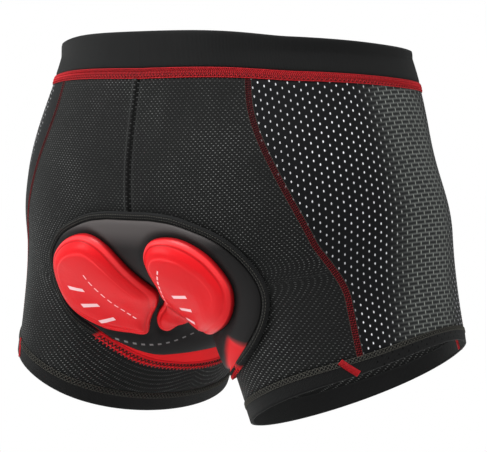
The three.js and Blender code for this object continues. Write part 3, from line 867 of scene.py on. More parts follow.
@dataclass(frozen=True)
class DottedKnit(Finish):
    """Black knit with small light dashes in staggered rows, dyed red through under the seam."""

    dark: Colour = (0.0052, 0.0054, 0.0054)
    worn: Colour = (0.0082, 0.0085, 0.0083)
    dot: Colour = (0.19, 0.195, 0.19)
    seam: Colour = (0.012, 0.0012, 0.0018)
    pitch: tuple[float, float] = (3.9, 1.8)
    half: tuple[float, float] = (0.62, 0.24)
    clear: tuple[float, float] = (2.4, 3.2)

    def paint(self) -> bpy.types.Material:
        """The finished material."""
        maker = self.start()
        u, v = maker.flat_map()
        near = maker.ovals(u, v, self.pitch, self.half)
        away = maker.rise(maker.mark("from_seam"), *self.clear)
        spot = maker.rise(near, 0.7, 1.3, 1.0, 0.0) * away
        patchy = maker.rise(maker.noise(14.0, 3.0), 0.36, 0.64, 0.3, 1.0)
        single = maker.rise(maker.noise(420.0, 0.0), 0.35, 0.62, 0.45, 1.0)
        cloth = maker.colours(maker.noise(30.0, 3.0), self.dark, self.worn)
        base = maker.colours(away, self.seam, cloth)
        maker.base(maker.colours(spot * patchy * single, base, self.dot))
        maker.bump(maker.rise(near, 0.4, 2.6) * 0.6 + maker.noise(1500.0, 1.0) * 0.3, 0.0002)
        return maker.material


@dataclass(frozen=True)
class HoleMesh(Finish):
    """Black mesh: painted light seen through the holes towards the back, and painted sheen on the flank, as
    grey ribs and short light ticks where the holes are seen edge-on.
    """

    dark: Colour = (0.0040, 0.0042, 0.0048)
    # The next four colours are painted light: a lighter base and grey ribs for the sheen on the flank, the
    # white of the room seen through the holes, and grey ticks where the holes are seen edge-on.
    brick: Colour = (0.014, 0.015, 0.015)
    rib: Colour = (0.088, 0.094, 0.090)
    hole: Colour = (0.74, 0.74, 0.77)
    tick: Colour = (0.30, 0.32, 0.29)
    seam: Colour = (0.014, 0.0012, 0.0020)
    pitch: tuple[float, float] = (8.8, 3.1)
    half: tuple[float, float] = (0.50, 0.85)
    tick_half: tuple[float, float] = (0.36, 1.7)
    clear: tuple[float, float] = (2.0, 2.7)

    def paint(self) -> bpy.types.Material:
        """The finished material."""
        maker = self.start()
        u, v = maker.flat_map()
        # On the flank the holes fade out and the painted sheen of the ribs and ticks shows instead.
        flank = maker.mark("flank")
        near = maker.ovals(u, v, self.pitch, self.half) * (1.0 + flank * 0.1)
        tick = maker.rise(maker.ovals(u, v, self.pitch, self.tick_half), 0.8, 1.2, 1.0, 0.0) * flank
        seen = maker.rise(maker.noise(16.0, 2.0), 0.34, 0.6, 0.62, 1.0)
        spot = maker.rise(near, 0.75, 1.25, 1.0, 0.0) * maker.mark("open") * seen
        row = (v / self.pitch[1]).math("FRACT") - 0.5
        line = maker.rise(row.math("ABSOLUTE"), 0.14, 0.44)
        uneven = maker.noise(60.0, 3.0) * 0.9 + 0.4
        brick = maker.colours(flank, self.dark, self.brick)
        sheen_ribs = maker.colours(line * flank * flank * uneven, brick, self.rib)
        base = maker.colours(maker.rise(maker.mark("from_seam"), *self.clear), self.seam, sheen_ribs)
        # The holes are painted white, as light coming through them, where the mark allows and off the flank.
        holed = maker.colours(spot * (1.0 - flank), base, self.hole)
        maker.base(maker.colours(tick * 0.85, holed, self.tick))
        dent = maker.rise(near, 0.9, 1.6, 1.0, 0.0) * (1.0 - flank)
        maker.bump(line * flank - dent * 0.8 + maker.noise(1300.0, 1.0) * 0.25, 0.0005)
        return maker.material


@dataclass(frozen=True)
class PlainBand(Finish):
    """Black band of fine knit, with dark holes or a red part where it is marked."""

    dark: Colour = (0.0050, 0.0051, 0.0053)
    worn: Colour = (0.0078, 0.0080, 0.0080)
    hole: Colour = (0.0005, 0.0005, 0.0005)
    red: Colour = (0.62, 0.010, 0.016)
    pitch: tuple[float, float] = (8.8, 3.1)
    half: tuple[float, float] = (0.7, 0.8)

    def paint(self) -> bpy.types.Material:
        """The finished material."""
        maker = self.start()
        u, v = maker.flat_map()
        near = maker.ovals(u, v, self.pitch, self.half)
        punched = maker.rise(near, 0.7, 1.3, 1.0, 0.0) * maker.mark("folded_mesh")
        cloth = maker.colours(maker.noise(25.0, 3.0), self.dark, self.worn)
        holed = maker.colours(punched, cloth, self.hole)
        maker.base(maker.colours(maker.mark("red_share"), holed, self.red))
        wale = (u * (2 * math.pi / 1.1)).math("SINE")
        maker.bump(wale * 0.3 + maker.noise(1500.0, 1.0) * 0.5 - punched, 0.00022)
        return maker.material


@dataclass(frozen=True)
class Thread(Finish):
    """Sewing thread, turning to a painted shade colour towards the top."""

    colour: Colour = (0.52, 0.008, 0.014)
    shade: Colour = (0.20, 0.004, 0.007)
    # top is painted shade: the colour the thread turns to upwards, between the heights of fade in metres.
    top: Colour = (0.36, 0.006, 0.010)
    fade: tuple[float, float] = (0.0, 0.1)

    def paint(self) -> bpy.types.Material:
        """The finished material."""
        maker = self.start()
        tone = maker.colours(maker.noise(500.0, 2.0), self.shade, self.colour)
        # Painted shade: darker towards the top, between the heights of fade.
        height = maker.make("ShaderNodeSeparateXYZ", {}, {0: maker.place()}).outputs[2]
        upper = maker.rise(Value(maker, height), *self.fade)
        maker.base(maker.colours(upper, tone, self.top))
        return maker.material


@dataclass(frozen=True)
class SmoothJersey(Finish):
    """Smooth stretched jersey in one colour, with a fine grain, a painted highlight where it is marked
    light, and darker parts, mostly painted shade, where it is marked deep.
    """

    colour: Colour = (0.66, 0.008, 0.012)
    shade: Colour = (0.58, 0.006, 0.010)
    # light is a painted highlight; deep paints shade on and round the gels, and also darkens the foam's own
    # black lower band and the base above its low edge.
    light: Colour = (0.90, 0.060, 0.065)
    deep: Colour = (0.16, 0.003, 0.005)
    red: Colour = (0.62, 0.010, 0.014)
    grain: float = 0.00006

    def tones(self, maker: Maker) -> bpy.types.NodeSocket:
        """The colour with its red part, its painted highlight and its darker parts, which are mostly painted
        shade.
        """
        tone = maker.colours(maker.noise(20.0, 3.0), self.shade, self.colour)
        for mark, colour in (("red_share", self.red), ("light", self.light), ("deep", self.deep)):
            tone = maker.colours(maker.mark(mark), tone, colour)
        return tone

    def paint(self) -> bpy.types.Material:
        """The finished material."""
        maker = self.start()
        maker.base(self.tones(maker))
        maker.bump(maker.noise(1800.0, 1.0), self.grain)
        return maker.material


@dataclass(frozen=True)
class Bar:
    """A plain printed bar: its middle and half sizes on the flat map, and how it is turned."""

    s: float
    t: float
    half_length: float
    half_width: float
    turn: float


def dashes(start: tuple[float, float], end: tuple[float, float], count: int) -> tuple[Bar, ...]:
    """A line of small printed dashes between two places of the flat map."""
    turn = math.degrees(math.atan2(end[1] - start[1], end[0] - start[0]))
    shares = [k / (count - 1) for k in range(count)]
    return tuple(Bar(mix(start[0], end[0], x), mix(start[1], end[1], x), 1.5, 0.6, turn) for x in shares)


@dataclass(frozen=True)
class PrintedJersey(SmoothJersey):
    """Smooth jersey with plain pale bars."""

    ink: Colour = (0.80, 0.50, 0.52)
    bars: tuple[Bar, ...] = ()

    def paint(self) -> bpy.types.Material:
        """The finished material."""
        maker = self.start()
        u, v = maker.flat_map()
        tone = self.tones(maker)
        for bar in self.bars:
            cosine, sine = math.cos(math.radians(bar.turn)), math.sin(math.radians(bar.turn))
            along = ((u - bar.s) * cosine + (v - bar.t) * sine).math("ABSOLUTE")
            across = ((v - bar.t) * cosine - (u - bar.s) * sine).math("ABSOLUTE")
            far = (along - bar.half_length).math("MAXIMUM", across - bar.half_width)
            tone = maker.colours(maker.rise(far, -0.15, 0.15, 1.0, 0.0), tone, self.ink)
        maker.base(tone)
        maker.bump(maker.noise(1800.0, 1.0), self.grain)
        return maker.material


# ---- sewing ---------------------------------------------------------------------------------


@dataclass
class Guide:
    """The line that a row of stitches follows, with outward directions."""

    points: Array
    outwards: Array
    closed: bool = False


@dataclass(frozen=True)
class StitchRow:
    """Equal stitches along a line, in millimetres and degrees."""

    pitch: float
    length: float
    thread: float
    lift: float = 0.4
    turn: float = 0.0
    zigzag: float = 0.0
    offset: float = 0.0
    height: float = 0.0


class StitchTree:
    """The Geometry Nodes tree that lays stitches along a line."""

    names = ("Pitch", "Length", "Thread", "Lift", "Turn", "Zigzag", "Offset", "Height")

    def __init__(self) -> None:
        """Builds the tree and its named inputs."""
        self.tree = bpy.data.node_groups.new("stitch_row", "GeometryNodeTree")
        face = self.tree.interface
        face.new_socket("Geometry", in_out="INPUT", socket_type="NodeSocketGeometry")
        self.sockets = {
            name: face.new_socket(name, in_out="INPUT", socket_type="NodeSocketFloat")
            for name in self.names
        }
        self.sockets["Material"] = face.new_socket(
            "Material", in_out="INPUT", socket_type="NodeSocketMaterial"
        )
        face.new_socket("Geometry", in_out="OUTPUT", socket_type="NodeSocketGeometry")
        self.entry = self.tree.nodes.new("NodeGroupInput")
        self.lay()

    def add(self, kind: str, settings: dict, inputs: dict) -> bpy.types.Node:
        """Adds a node, sets its properties, and links or sets its sockets."""
        node = self.tree.nodes.new(kind)
        for key, value in settings.items():
            setattr(node, key, value)
        for key, value in inputs.items():
            if isinstance(value, bpy.types.NodeSocket):
                self.tree.links.new(value, node.inputs[key])
            else:
                node.inputs[key].default_value = value
        return node

    def sum(self, operation: str, first: object, second: object) -> bpy.types.NodeSocket:
        """One Math node."""
        return self.add("ShaderNodeMath", {"operation": operation}, {0: first, 1: second}).outputs[0]

    def lay(self) -> None:
        """Adds the nodes: one curved stitch, its places on the line, and its turns there."""
        given = self.entry.outputs
        half = self.sum("MULTIPLY", given["Length"], 0.5)
        minus = self.sum("MULTIPLY", given["Length"], -0.5)
        peak = self.sum("MULTIPLY", given["Lift"], 2.0)
        start = self.add("ShaderNodeCombineXYZ", {}, {0: minus}).outputs[0]
        end = self.add("ShaderNodeCombineXYZ", {}, {0: half}).outputs[0]
        top = self.add("ShaderNodeCombineXYZ", {}, {2: peak}).outputs[0]
        arc = self.add(
            "GeometryNodeCurveQuadraticBezier", {},
            {"Resolution": 3, "Start": start, "Middle": top, "End": end},
        )
        radius = self.sum("MULTIPLY", given["Thread"], 0.5)
        ring = self.add("GeometryNodeCurvePrimitiveCircle", {}, {"Resolution": 4, "Radius": radius})
        stitch = self.add(
            "GeometryNodeCurveToMesh", {},
            {"Curve": arc.outputs[0], "Profile Curve": ring.outputs[0], "Fill Caps": True},
        )
        line = self.add("GeometryNodeMeshToCurve", {}, {0: given["Geometry"]})
        spaced = self.add(
            "GeometryNodeResampleCurve", {"mode": "LENGTH"},
            {"Curve": line.outputs[0], "Length": given["Pitch"]},
        )
        outwards = self.add(
            "GeometryNodeInputNamedAttribute", {"data_type": "FLOAT_VECTOR"}, {"Name": "outwards"}
        )
        tangent = self.add("GeometryNodeInputTangent", {}, {})
        turned = self.add(
            "FunctionNodeAxesToRotation", {"primary_axis": "Z", "secondary_axis": "X"},
            {0: outwards.outputs[0], 1: tangent.outputs[0]},
        )
        placed = self.add(
            "GeometryNodeInstanceOnPoints", {},
            {"Points": spaced.outputs[0], "Instance": stitch.outputs[0], "Rotation": turned.outputs[0]},
        )
        shift = self.add("ShaderNodeCombineXYZ", {}, {1: given["Offset"], 2: given["Height"]})
        moved = self.add(
            "GeometryNodeTranslateInstances", {},
            {"Instances": placed.outputs[0], "Translation": shift.outputs[0], "Local Space": True},
        )
        index = self.add("GeometryNodeInputIndex", {}, {}).outputs[0]
        odd = self.sum("MULTIPLY", self.sum("MODULO", index, 2.0), 2.0)
        swing = self.sum("MULTIPLY", self.sum("SUBTRACT", odd, 1.0), given["Zigzag"])
        angle = self.sum("ADD", swing, given["Turn"])
        spin = self.add("ShaderNodeCombineXYZ", {}, {2: angle})
        swung = self.add(
            "GeometryNodeRotateInstances", {},
            {"Instances": moved.outputs[0], "Rotation": spin.outputs[0], "Local Space": True},
        )
        real = self.add("GeometryNodeRealizeInstances", {}, {0: swung.outputs[0]})
        sleek = self.add("GeometryNodeSetShadeSmooth", {}, {0: real.outputs[0]})
        dressed = self.add(
            "GeometryNodeSetMaterial", {},
            {"Geometry": sleek.outputs[0], "Material": given["Material"]},
        )
        self.add("NodeGroupOutput", {}, {0: dressed.outputs[0]})

    def lay_row(self, guide: Guide, row: StitchRow, material: bpy.types.Material) -> bpy.types.Mesh:
        """Stitches along one line, as a plain mesh in metres."""
        count = len(guide.points)
        edges = [(k, (k + 1) % count) for k in range(count if guide.closed else count - 1)]
        mesh = bpy.data.meshes.new("guide")
        mesh.from_pydata((guide.points * MM).tolist(), edges, [])
        attribute = mesh.attributes.new("outwards", "FLOAT_VECTOR", "POINT")
        attribute.data.foreach_set("vector", guide.outwards.astype(np.float32).ravel())
        line = placed("guide", mesh)
        modifier = line.modifiers.new("stitches", "NODES")
        modifier.node_group = self.tree
        values = {
            "Pitch": row.pitch * MM, "Length": row.length * MM, "Thread": row.thread * MM,
            "Lift": row.lift * MM, "Turn": math.radians(row.turn), "Zigzag": math.radians(row.zigzag),
            "Offset": row.offset * MM, "Height": row.height * MM, "Material": material,
        }
        for name, value in values.items():
            modifier[self.sockets[name].identifier] = value
        graph = bpy.context.evaluated_depsgraph_get()
        made = bpy.data.meshes.new_from_object(line.evaluated_get(graph))
        line.modifiers.remove(modifier)
        bpy.data.objects.remove(line)
        return made

    def sew(
        self, name: str, runs: list[tuple[Guide, StitchRow]], material: bpy.types.Material, slot: Slot
    ) -> None:
        """Several rows of stitches as one piece, at the origin.

        Args:
            name: The piece's name.
            runs: Lines with the stitches that go along them.
            material: The thread.
            slot: The material slot of the piece; not used.
        """
        points, faces, start = [], [], 0
        for guide, row in runs:
            mesh = self.lay_row(guide, row, material)
            points.append(mesh_points(mesh))
            faces.extend([start + k for k in face.vertices] for face in mesh.polygons)
            start += len(mesh.vertices)
            bpy.data.meshes.remove(mesh)
        merged = bpy.data.meshes.new(name)
        merged.from_pydata(np.concatenate(points).tolist(), [], faces)
        merged.shade_smooth()
        merged.materials.append(material)
        own(placed(name, merged), slot)


# ---- the shorts -----------------------------------------------------------------------------


@dataclass(frozen=True)
class Crease:
    """A soft ridge (height above 0) or trough along a line of the cloth, given as (v, degrees)."""

    start: tuple[float, float]
    end: tuple[float, float]
    height: float
    width: float
    bow: float = 0.0


@dataclass
class Shorts:
    """Waistband, panels and hem bands."""

    cloth: Cloth
    panel_wall: float = 1.4
    band_wall: float = 2.2
    hem_wall: float = 2.0
    tape_wall: float = 1.6
    raised: float = 0.4
    panel_roll: float = 0.2
    band_roll: float = 0.35
    hem_roll: float = 0.5
    waistband_rows: int = 14
    tape_rows: int = 8
    hem_rows: int = 10
    crowding: float = 1.6
    rings_above: int = 72
    rings_below: int = 30
    front_columns: int = 56
    side_columns: int = 64
    back_columns: int = 64
    mesh_slope: float = 0.14
    slope_end: float = -4.0
    slope_ease: float = 12.0
    mesh_bow: float = 0.0008
    mesh_upright: float = 110.0
    # The flank, where the mesh gets painted sheen and its holes lose their painted light.
    flank: tuple[float, float] = (-47.0, 54.0)
    flank_ease: float = 36.0
    # Seam distances in millimetres within which the mesh holes get no painted light: from the back seam on
    # the wearer's left, and from the other seams.
    dull: tuple[float, float] = (24.0, 2.6)
    crease_steps: int = 12
    creases: dict[Side, tuple[Crease, ...]] = field(default_factory=dict)

    def places(self, v: Array, middle: str, seam: Table, columns: int) -> Array:
        """Angles from the middle of the body to a side seam, closer together near the middle."""
        start = self.cloth.rings(v)[middle][:, None]
        share = (np.arange(columns + 1) / columns) ** self.crowding
        return mix(start, self.cloth.seam(v, seam)[:, None], share[None, :])

    def front_places(self, v: Array) -> Array:
        """Angles of the front panel's columns, from the middle out."""
        return self.places(v, "front", self.cloth.front_seam, self.front_columns)

    def back_places(self, v: Array) -> Array:
        """Angles of a back panel's columns, from the side seam to the middle."""
        return self.places(v, "back", self.cloth.back_seam, self.back_columns)[:, ::-1]

    def side_places(self, v: Array) -> Array:
        """Angles of a side panel's columns, from the front seam to the back seam."""
        share = np.linspace(0, 1, self.side_columns + 1)[None, :]
        front, back = self.cloth.seam(v, self.cloth.front_seam), self.cloth.seam(v, self.cloth.back_seam)
        return mix(front[:, None], back[:, None], share)

    def ring_angles(self, v: Array) -> Array:
        """Angles right round one side, from the front to the back."""
        front, flank, back = self.front_places(v), self.side_places(v), self.back_places(v)
        return np.concatenate([front, flank[:, 1:], back[:, 1:]], axis=1)

    def round_waist(self, v: float) -> "Guide":
        """A line right round the waist."""
        level = np.array([v])
        left, right = (self.cloth.points(level, self.ring_angles(level), side)[0] for side in Side)
        points = np.concatenate([left, right[-2:0:-1]])
        return Guide(points, self.cloth.normals(points), True)

    def round_leg(self, v: float, side: Side) -> "Guide":
        """A line right round one leg."""
        level = np.array([v])
        points = self.cloth.points(level, self.ring_angles(level), side)[0, :-1]
        return Guide(points, self.cloth.normals(points), True)

    def down_cloth(self, v: Array, degrees: Array, side: Side) -> "Guide":
        """A line down one side, through angles on rings."""
        points = self.cloth.points(v, np.radians(degrees)[:, None], side)[:, 0]
        return Guide(points, self.cloth.normals(points))

    def panel_rings(self) -> Array:
        """Rings of the panels: closer together near the crotch."""
        crotch = self.cloth.crotch
        above = (1 - np.arange(self.rings_above + 1) / self.rings_above) ** self.crowding
        below = (np.arange(1, self.rings_below + 1) / self.rings_below) ** self.crowding
        top, bottom = self.cloth.tape[1], self.cloth.hem_band
        return np.concatenate([mix(crotch, top, above), mix(crotch, bottom, below)])

    def grid(self, v: Array, angles: Array, side: Side, from_first: bool) -> Grid:
        """Points on rings, with a flat map that runs along and down the cloth.

        Args:
            v: The rings.
            angles: The angles on each ring, one column each.
            side: The wearer's left or right.
            from_first: Whether the flat map starts at the first column or at the last.

        Returns:
            The grid with the marks from_back and from_front, lengths along the rings, and ring, which is v.
        """
        points = self.cloth.points(v, angles, side)
        along = running_length(points, 1)
        rest = along[:, -1:] - along
        down = running_length(points, 0)
        flat = np.stack([along if from_first else rest, down], axis=-1)
        marks = {"from_front": along, "from_back": rest, "ring": np.broadcast_to(v[:, None], along.shape)}
        return Grid(points, self.cloth.normals(points), flat, marks)

    def folds(self, points: Array, side: Side) -> Array:
        """Height of the soft creases at points of one side."""
        height = np.zeros(points.shape[:-1])
        for crease in self.creases.get(side, ()):
            share = np.linspace(0, 1, self.crease_steps + 1)
            v = mix(crease.start[0], crease.end[0], share)
            angle = mix(crease.start[1], crease.end[1], share) + crease.bow * np.sin(math.pi * share)
            line = self.cloth.points(v, np.radians(angle)[:, None], side)[:, 0]
            nearest = np.full(height.shape, 1e9)
            place = np.zeros(height.shape)
            for k in range(len(line) - 1):
                run = line[k + 1] - line[k]
                t = np.clip(((points - line[k]) @ run) / (run @ run), 0, 1)
                far = np.linalg.norm(points - (line[k] + t[..., None] * run), axis=-1)
                closer = far < nearest
                nearest = np.where(closer, far, nearest)
                place = np.where(closer, (k + t) / (len(line) - 1), place)
            height += crease.height * hump(nearest, crease.width) * np.sin(math.pi * place) ** 0.8
        return height

    def band(self, name: str, limits: tuple[float, float], rows: int, wall: float) -> Shell:
        """A band right round the waist, with softly rolled edges."""
        v = np.linspace(*limits, rows + 1)
        sheet = Sheet.weld([self.grid(v, self.ring_angles(v), side, False) for side in Side])
        edge = np.minimum(sheet.marks["ring"] - limits[0], limits[1] - sheet.marks["ring"])
        edge = edge * (self.cloth.top_z - self.cloth.hem_z)
        worn = 0.45 * smooth(edge / 2.5) - 0.35
        sheet.marks["folded_mesh"] = np.zeros(len(sheet.points))
        return Shell(name, sheet, self.raised + worn, self.raised - wall, self.band_roll)

    def waistband(self) -> Shell:
        """The elastic band at the waist."""
        return self.band("waistband", (0.0, self.cloth.tape[0]), self.waistband_rows, self.band_wall)

    def seam_tape(self) -> Shell:
        """The flat seam under the waistband."""
        return self.band("waist_seam_tape", self.cloth.tape, self.tape_rows, self.tape_wall)

    def panel(self, name: str, grids: list[Grid]) -> Shell:
        """The wall of a panel over its grids, raised by their mark."""
        sheet = Sheet.weld(grids)
        height = sheet.marks.pop("raise")
        return Shell(name, sheet, height, height - self.panel_wall, self.panel_roll)

    def back_panel(self, side: Side) -> Shell:
        """Half of the seat, with its edge folded in at the centre back seam."""
        v = self.panel_rings()
        grid = self.grid(v, self.back_places(v), side, False)
        across = grid.marks["from_back"]
        grid.marks["from_seam"] = grid.marks["from_front"]
        if side is Side.LEFT:
            seam = 1.5 * hump(across - 2.8, 2.0) - 0.9 * hump(across, 1.1)
        else:
            seam = -1.1 * hump(across, 2.4)
        shown = smooth((self.cloth.crotch - v) / 0.05)[:, None]
        grid.marks["raise"] = seam * shown + self.folds(grid.points, side)
        return self.panel(f"back_panel_{side.word}", [grid])

    def upright_map(self, points: Array) -> tuple[Array, Array]:
        """A flat map that is even all over a side panel, cut askew, and how much is flank, where the mesh
        gets its painted sheen.
        """
        level = points * np.array([1.0, 1.0, 0.0])
        along = running_length(level, 1)
        side_line = np.array([np.interp(0.0, y, run) for y, run in zip(points[..., 1], along)])
        forwards, down = side_line[:, None] - along, -points[..., 2]
        columns = forwards - self.mesh_bow * (down - self.mesh_upright) ** 2
        ease = self.slope_ease
        rows = down - self.mesh_slope * ease * np.log1p(np.exp((self.slope_end - forwards) / ease))
        start, end = self.flank
        flank = smooth((forwards - start) / self.flank_ease) * smooth((end - forwards) / self.flank_ease)
        return np.stack([columns, rows], axis=-1), flank

    def side_panel(self, side: Side) -> Shell:
        """Mesh panel over the hip and the outside of the thigh."""
        v = self.panel_rings()
        grid = self.grid(v, self.side_places(v), side, False)
        grid.flat, grid.marks["flank"] = self.upright_map(grid.points)
        # Where the holes are painted light: not close to the seams, and on the wearer's left not within the
        # first dull distance of the back seam.
        rest = grid.marks["from_back"]
        start = self.dull[0 if side is Side.LEFT else 1]
        near = np.minimum(rest - start, grid.marks["from_front"] - self.dull[1])
        grid.marks["open"] = smooth(near / 1.2)
        grid.marks["from_seam"] = np.minimum(rest, grid.marks["from_front"])
        grid.marks["raise"] = self.folds(grid.points, side)
        return self.panel(f"side_mesh_{side.word}", [grid])

    def front_panel(self) -> Shell:
        """The front in one piece, down both thighs."""
        v = self.panel_rings()
        grids = []
        for side in Side:
            grid = self.grid(v, self.front_places(v), side, True)
            grid.marks["from_seam"] = grid.marks["from_back"]
            grid.marks["raise"] = self.folds(grid.points, side)
            grids.append(grid)
        return self.panel("front_panel", grids)

    def hem(self, side: Side) -> Shell:
        """A folded band round one leg."""
        v = np.linspace(self.cloth.hem_band, 1, self.hem_rows + 1)
        angles = self.ring_angles(v)
        grid = self.grid(v, angles, side, False)
        folded = np.zeros(angles.shape)
        folded[:, self.front_columns + 3:self.front_columns + self.side_columns - 2] = 1
        grid.marks["folded_mesh"] = folded
        sheet = Sheet.weld([grid])
        share = (sheet.marks["ring"] - self.cloth.hem_band) / (1 - self.cloth.hem_band)
        top = self.raised + 0.25 * smooth(share * 6) - 0.5 * hump(share, 0.05)
        return Shell(f"hem_band_{side.word}", sheet, top, self.raised - self.hem_wall, self.hem_roll)


# ---- the seat pad ---------------------------------------------------------------------------


@dataclass
class Outline:
    """A closed outline in places s, t."""

    corners: Array

    @classmethod
    def smooth_loop(cls, knots: Places, count: int) -> "Outline":
        """A smooth closed curve through knots, as equal steps."""
        p = np.array(knots, float)
        dense = []
        for i in range(len(p)):
            a, b, c, d = p[i - 1], p[i], p[(i + 1) % len(p)], p[(i + 2) % len(p)]
            gaps = [max(np.linalg.norm(y - x) ** 0.5, 1e-6) for x, y in ((a, b), (b, c), (c, d))]
            left = ((b - a) / gaps[0] - (c - a) / (gaps[0] + gaps[1]) + (c - b) / gaps[1]) * gaps[1]
            right = ((c - b) / gaps[1] - (d - b) / (gaps[1] + gaps[2]) + (d - c) / gaps[2]) * gaps[1]
            for t in np.linspace(0, 1, 24, endpoint=False):
                dense.append(hermite(t, b, left, c, right))
        return cls(np.array(dense)).resampled(count)

    def resampled(self, count: int) -> "Outline":
        """The same loop with equal steps."""
        loop = np.concatenate([self.corners, self.corners[:1]])
        length = running_length(loop, 0)
        at = np.linspace(0, length[-1], count, endpoint=False)
        return Outline(np.stack([np.interp(at, length, loop[:, k]) for k in (0, 1)], axis=-1))

    def depth(self, s: Array, t: Array) -> Array:
        """Distance inside the outline, below zero outside it."""
        places = np.stack([np.asarray(s, float), np.asarray(t, float)], axis=-1)
        shape = places.shape[:-1]
        places = places.reshape(-1, 2)
        nearest = np.full(len(places), 1e9)
        crossings = np.zeros(len(places), int)
        for k in range(len(self.corners)):
            a, b = self.corners[k - 1], self.corners[k]
            run = b - a
            share = np.clip(((places - a) @ run) / max(run @ run, 1e-12), 0, 1)
            nearest = np.minimum(nearest, np.linalg.norm(places - (a + share[:, None] * run), axis=1))
            spans = (a[1] > places[:, 1]) != (b[1] > places[:, 1])
            if b[1] != a[1]:
                meets = a[0] + (places[:, 1] - a[1]) / (b[1] - a[1]) * (b[0] - a[0])
                crossings += spans & (places[:, 0] < meets)
        return np.where(crossings % 2 == 1, nearest, -nearest).reshape(shape)


@dataclass
class Gel:
    """One gel cushion: its outline on the pad, its rim and dome, and where its seams run."""

    name: str
    outline: Outline
    centre: tuple[float, float]
    rim: float
    dome: float
    rounding: float = 2.6
    shoulder: float = 4.0
    ledge: float = 0.0
    # line: how far inside the outline the painted highlight line runs.
    line: float = 11.6


@dataclass
class SeatPad:
    """The pad on the seat: red base, charcoal foam, edge binding and gel cushions."""

    seat: SeatMap
    outline: Table = Table((
        (88, 22), (90, 41), (96, 62), (103, 78), (113, 91), (127, 102), (146, 108), (158, 107),
        (166, 102), (176, 92), (194, 78), (214, 67), (242, 62), (275, 64), (312, 66), (345, 62),
        (370, 52), (386, 38), (394, 18),
    ))
    foam_outline: Table = Table((
        (170, 97), (178, 84), (190, 72), (204, 61), (222, 50), (244, 43), (285, 42), (330, 42),
        (360, 34), (376, 20),
    ))
    left_knots: Places = (
        (105, 44), (110, 67), (124, 86), (142, 96), (158, 96), (172, 82), (184, 63), (192, 49),
        (185, 39), (164, 16), (152, 6), (140, 8), (122, 16), (110, 28),
    )
    right_knots: Places = (
        (105, -43), (111, -61), (124, -76), (142, -82), (157, -77), (170, -58), (181, -38), (183, -20),
        (170, -8), (150, -4), (136, -11), (117, -14), (107, -24),
    )
    center_knots: Places = (
        (162, 5), (169, 15), (179, 27), (189, 36), (196, 38), (202, 34), (204, 24), (204, 12),
        (199, 2), (189, -3), (176, -1), (166, 1),
    )
    gap: float = 1.1
    base_wall: float = 1.6
    layer_gap: float = 0.4
    foam_gap: float = 0.3
    foam_wall: float = 4.6
    foam_edge: float = 1.4
    foam_rounding: float = 16
    binding_width: float = 5.6
    binding_height: float = 3.4
    low: tuple[float, float] = (174.0, 20.0)
    low_height: float = 1.9
    rows: int = 150
    columns: int = 96
    foam_rows: int = 190
    red_corner: tuple[float, float] = (166.0, 72.0)
    # Rows of s that get a painted highlight along the foam's top border, and where the foam's own black
    # lower band starts.
    pale_rows: tuple[float, float] = (88.0, 116.0)
    deep_from: float = 172.0
    sink: float = 1.6

    def outline_rows(self, count: int) -> tuple[Array, Array]:
        """Rows of the pad's outline, equally far apart along its curve."""
        first, last = self.outline.rows[0][0], self.outline.rows[-1][0]
        s = np.linspace(first, last, 2400)
        curve = np.stack([s, self.outline(s)], axis=-1)
        length = running_length(curve, 0)
        at = np.linspace(0, length[-1], count + 1)
        return np.interp(at, length, s), np.interp(at, length, curve[:, 1])

    def inset(self, s: Array, half: Array, distance: float) -> tuple[Array, Array]:
        """The outline moved inwards."""
        slope = slopes(s, half)
        length = np.hypot(1, slope)
        return s + distance * slope / length, half - distance / length

    def loop(self, distance: float, count: int = 480) -> Outline:
        """The pad's whole outline moved inwards, starting at the middle of its top edge."""
        s, half = self.inset(*self.outline_rows(240), distance)
        right = np.stack([s, -half], axis=-1)
        left = np.stack([s, half], axis=-1)
        corners = np.concatenate([[[s[0], 0]], left, [[s[-1], 0]], right[::-1]])
        return Outline(corners).resampled(count)

    def foam_room(self) -> tuple[Array, Array]:
        """Rows of the room for the foam, inside the binding."""
        return self.inset(*self.outline_rows(240), self.binding_width + self.foam_gap)

    def foam_half(self, s: Array) -> Array:
        """Half width of the foam at s."""
        reach = np.interp(s, *self.foam_room())
        return np.where(s < self.foam_outline.rows[0][0], reach, np.minimum(reach, self.foam_outline(s)))

    def foam_loop(self) -> Outline:
        """The foam's outline."""
        start = self.foam_room()[0][0]
        s = np.linspace(start, self.foam_outline.rows[-1][0], 400)
        half = self.foam_half(s)
        left, right = np.stack([s, half], axis=-1), np.stack([s, -half], axis=-1)
        return Outline(np.concatenate([left, right[::-1]])).resampled(360)

    def gels(self) -> list[Gel]:
        """The two cushions and the small middle one."""
        knots = (self.left_knots, self.right_knots, self.center_knots)
        left, right, middle = (Outline.smooth_loop(places, 180) for places in knots)
        return [
            Gel("gel_left", left, (145, 46), 3.0, 8.6, ledge=0.35),
            Gel("gel_right", right, (145, -46), 3.0, 8.6, ledge=0.35),
            Gel("gel_center", middle, (188, 18), 2.0, 3.6, shoulder=2.5, line=50.0),
        ]

    def fill(self, loop: Outline, centre: tuple[float, float], shares: Array) -> tuple[Array, Array]:
        """Places from a centre to an outline, one row for each share."""
        edge = np.concatenate([loop.corners, loop.corners[:1]])
        s = mix(centre[0], edge[None, :, 0], shares[:, None])
        t = mix(centre[1], edge[None, :, 1], shares[:, None])
        return s, t

    def grid(self, s: Array, t: Array, **marks: Array) -> Grid:
        """Places as a grid of points on the cloth."""
        points = self.seat.points(s, t)
        return Grid(points, self.seat.normals(points), np.stack([s, t], axis=-1), dict(marks))

    def rows_across(self, s: Array, half: Array) -> tuple[Array, Array]:
        """Places across rows of a shape with these half widths."""
        share = np.linspace(-1, 1, self.columns + 1)
        return np.broadcast_to(s[:, None], (len(s), len(share))), half[:, None] * share[None, :]

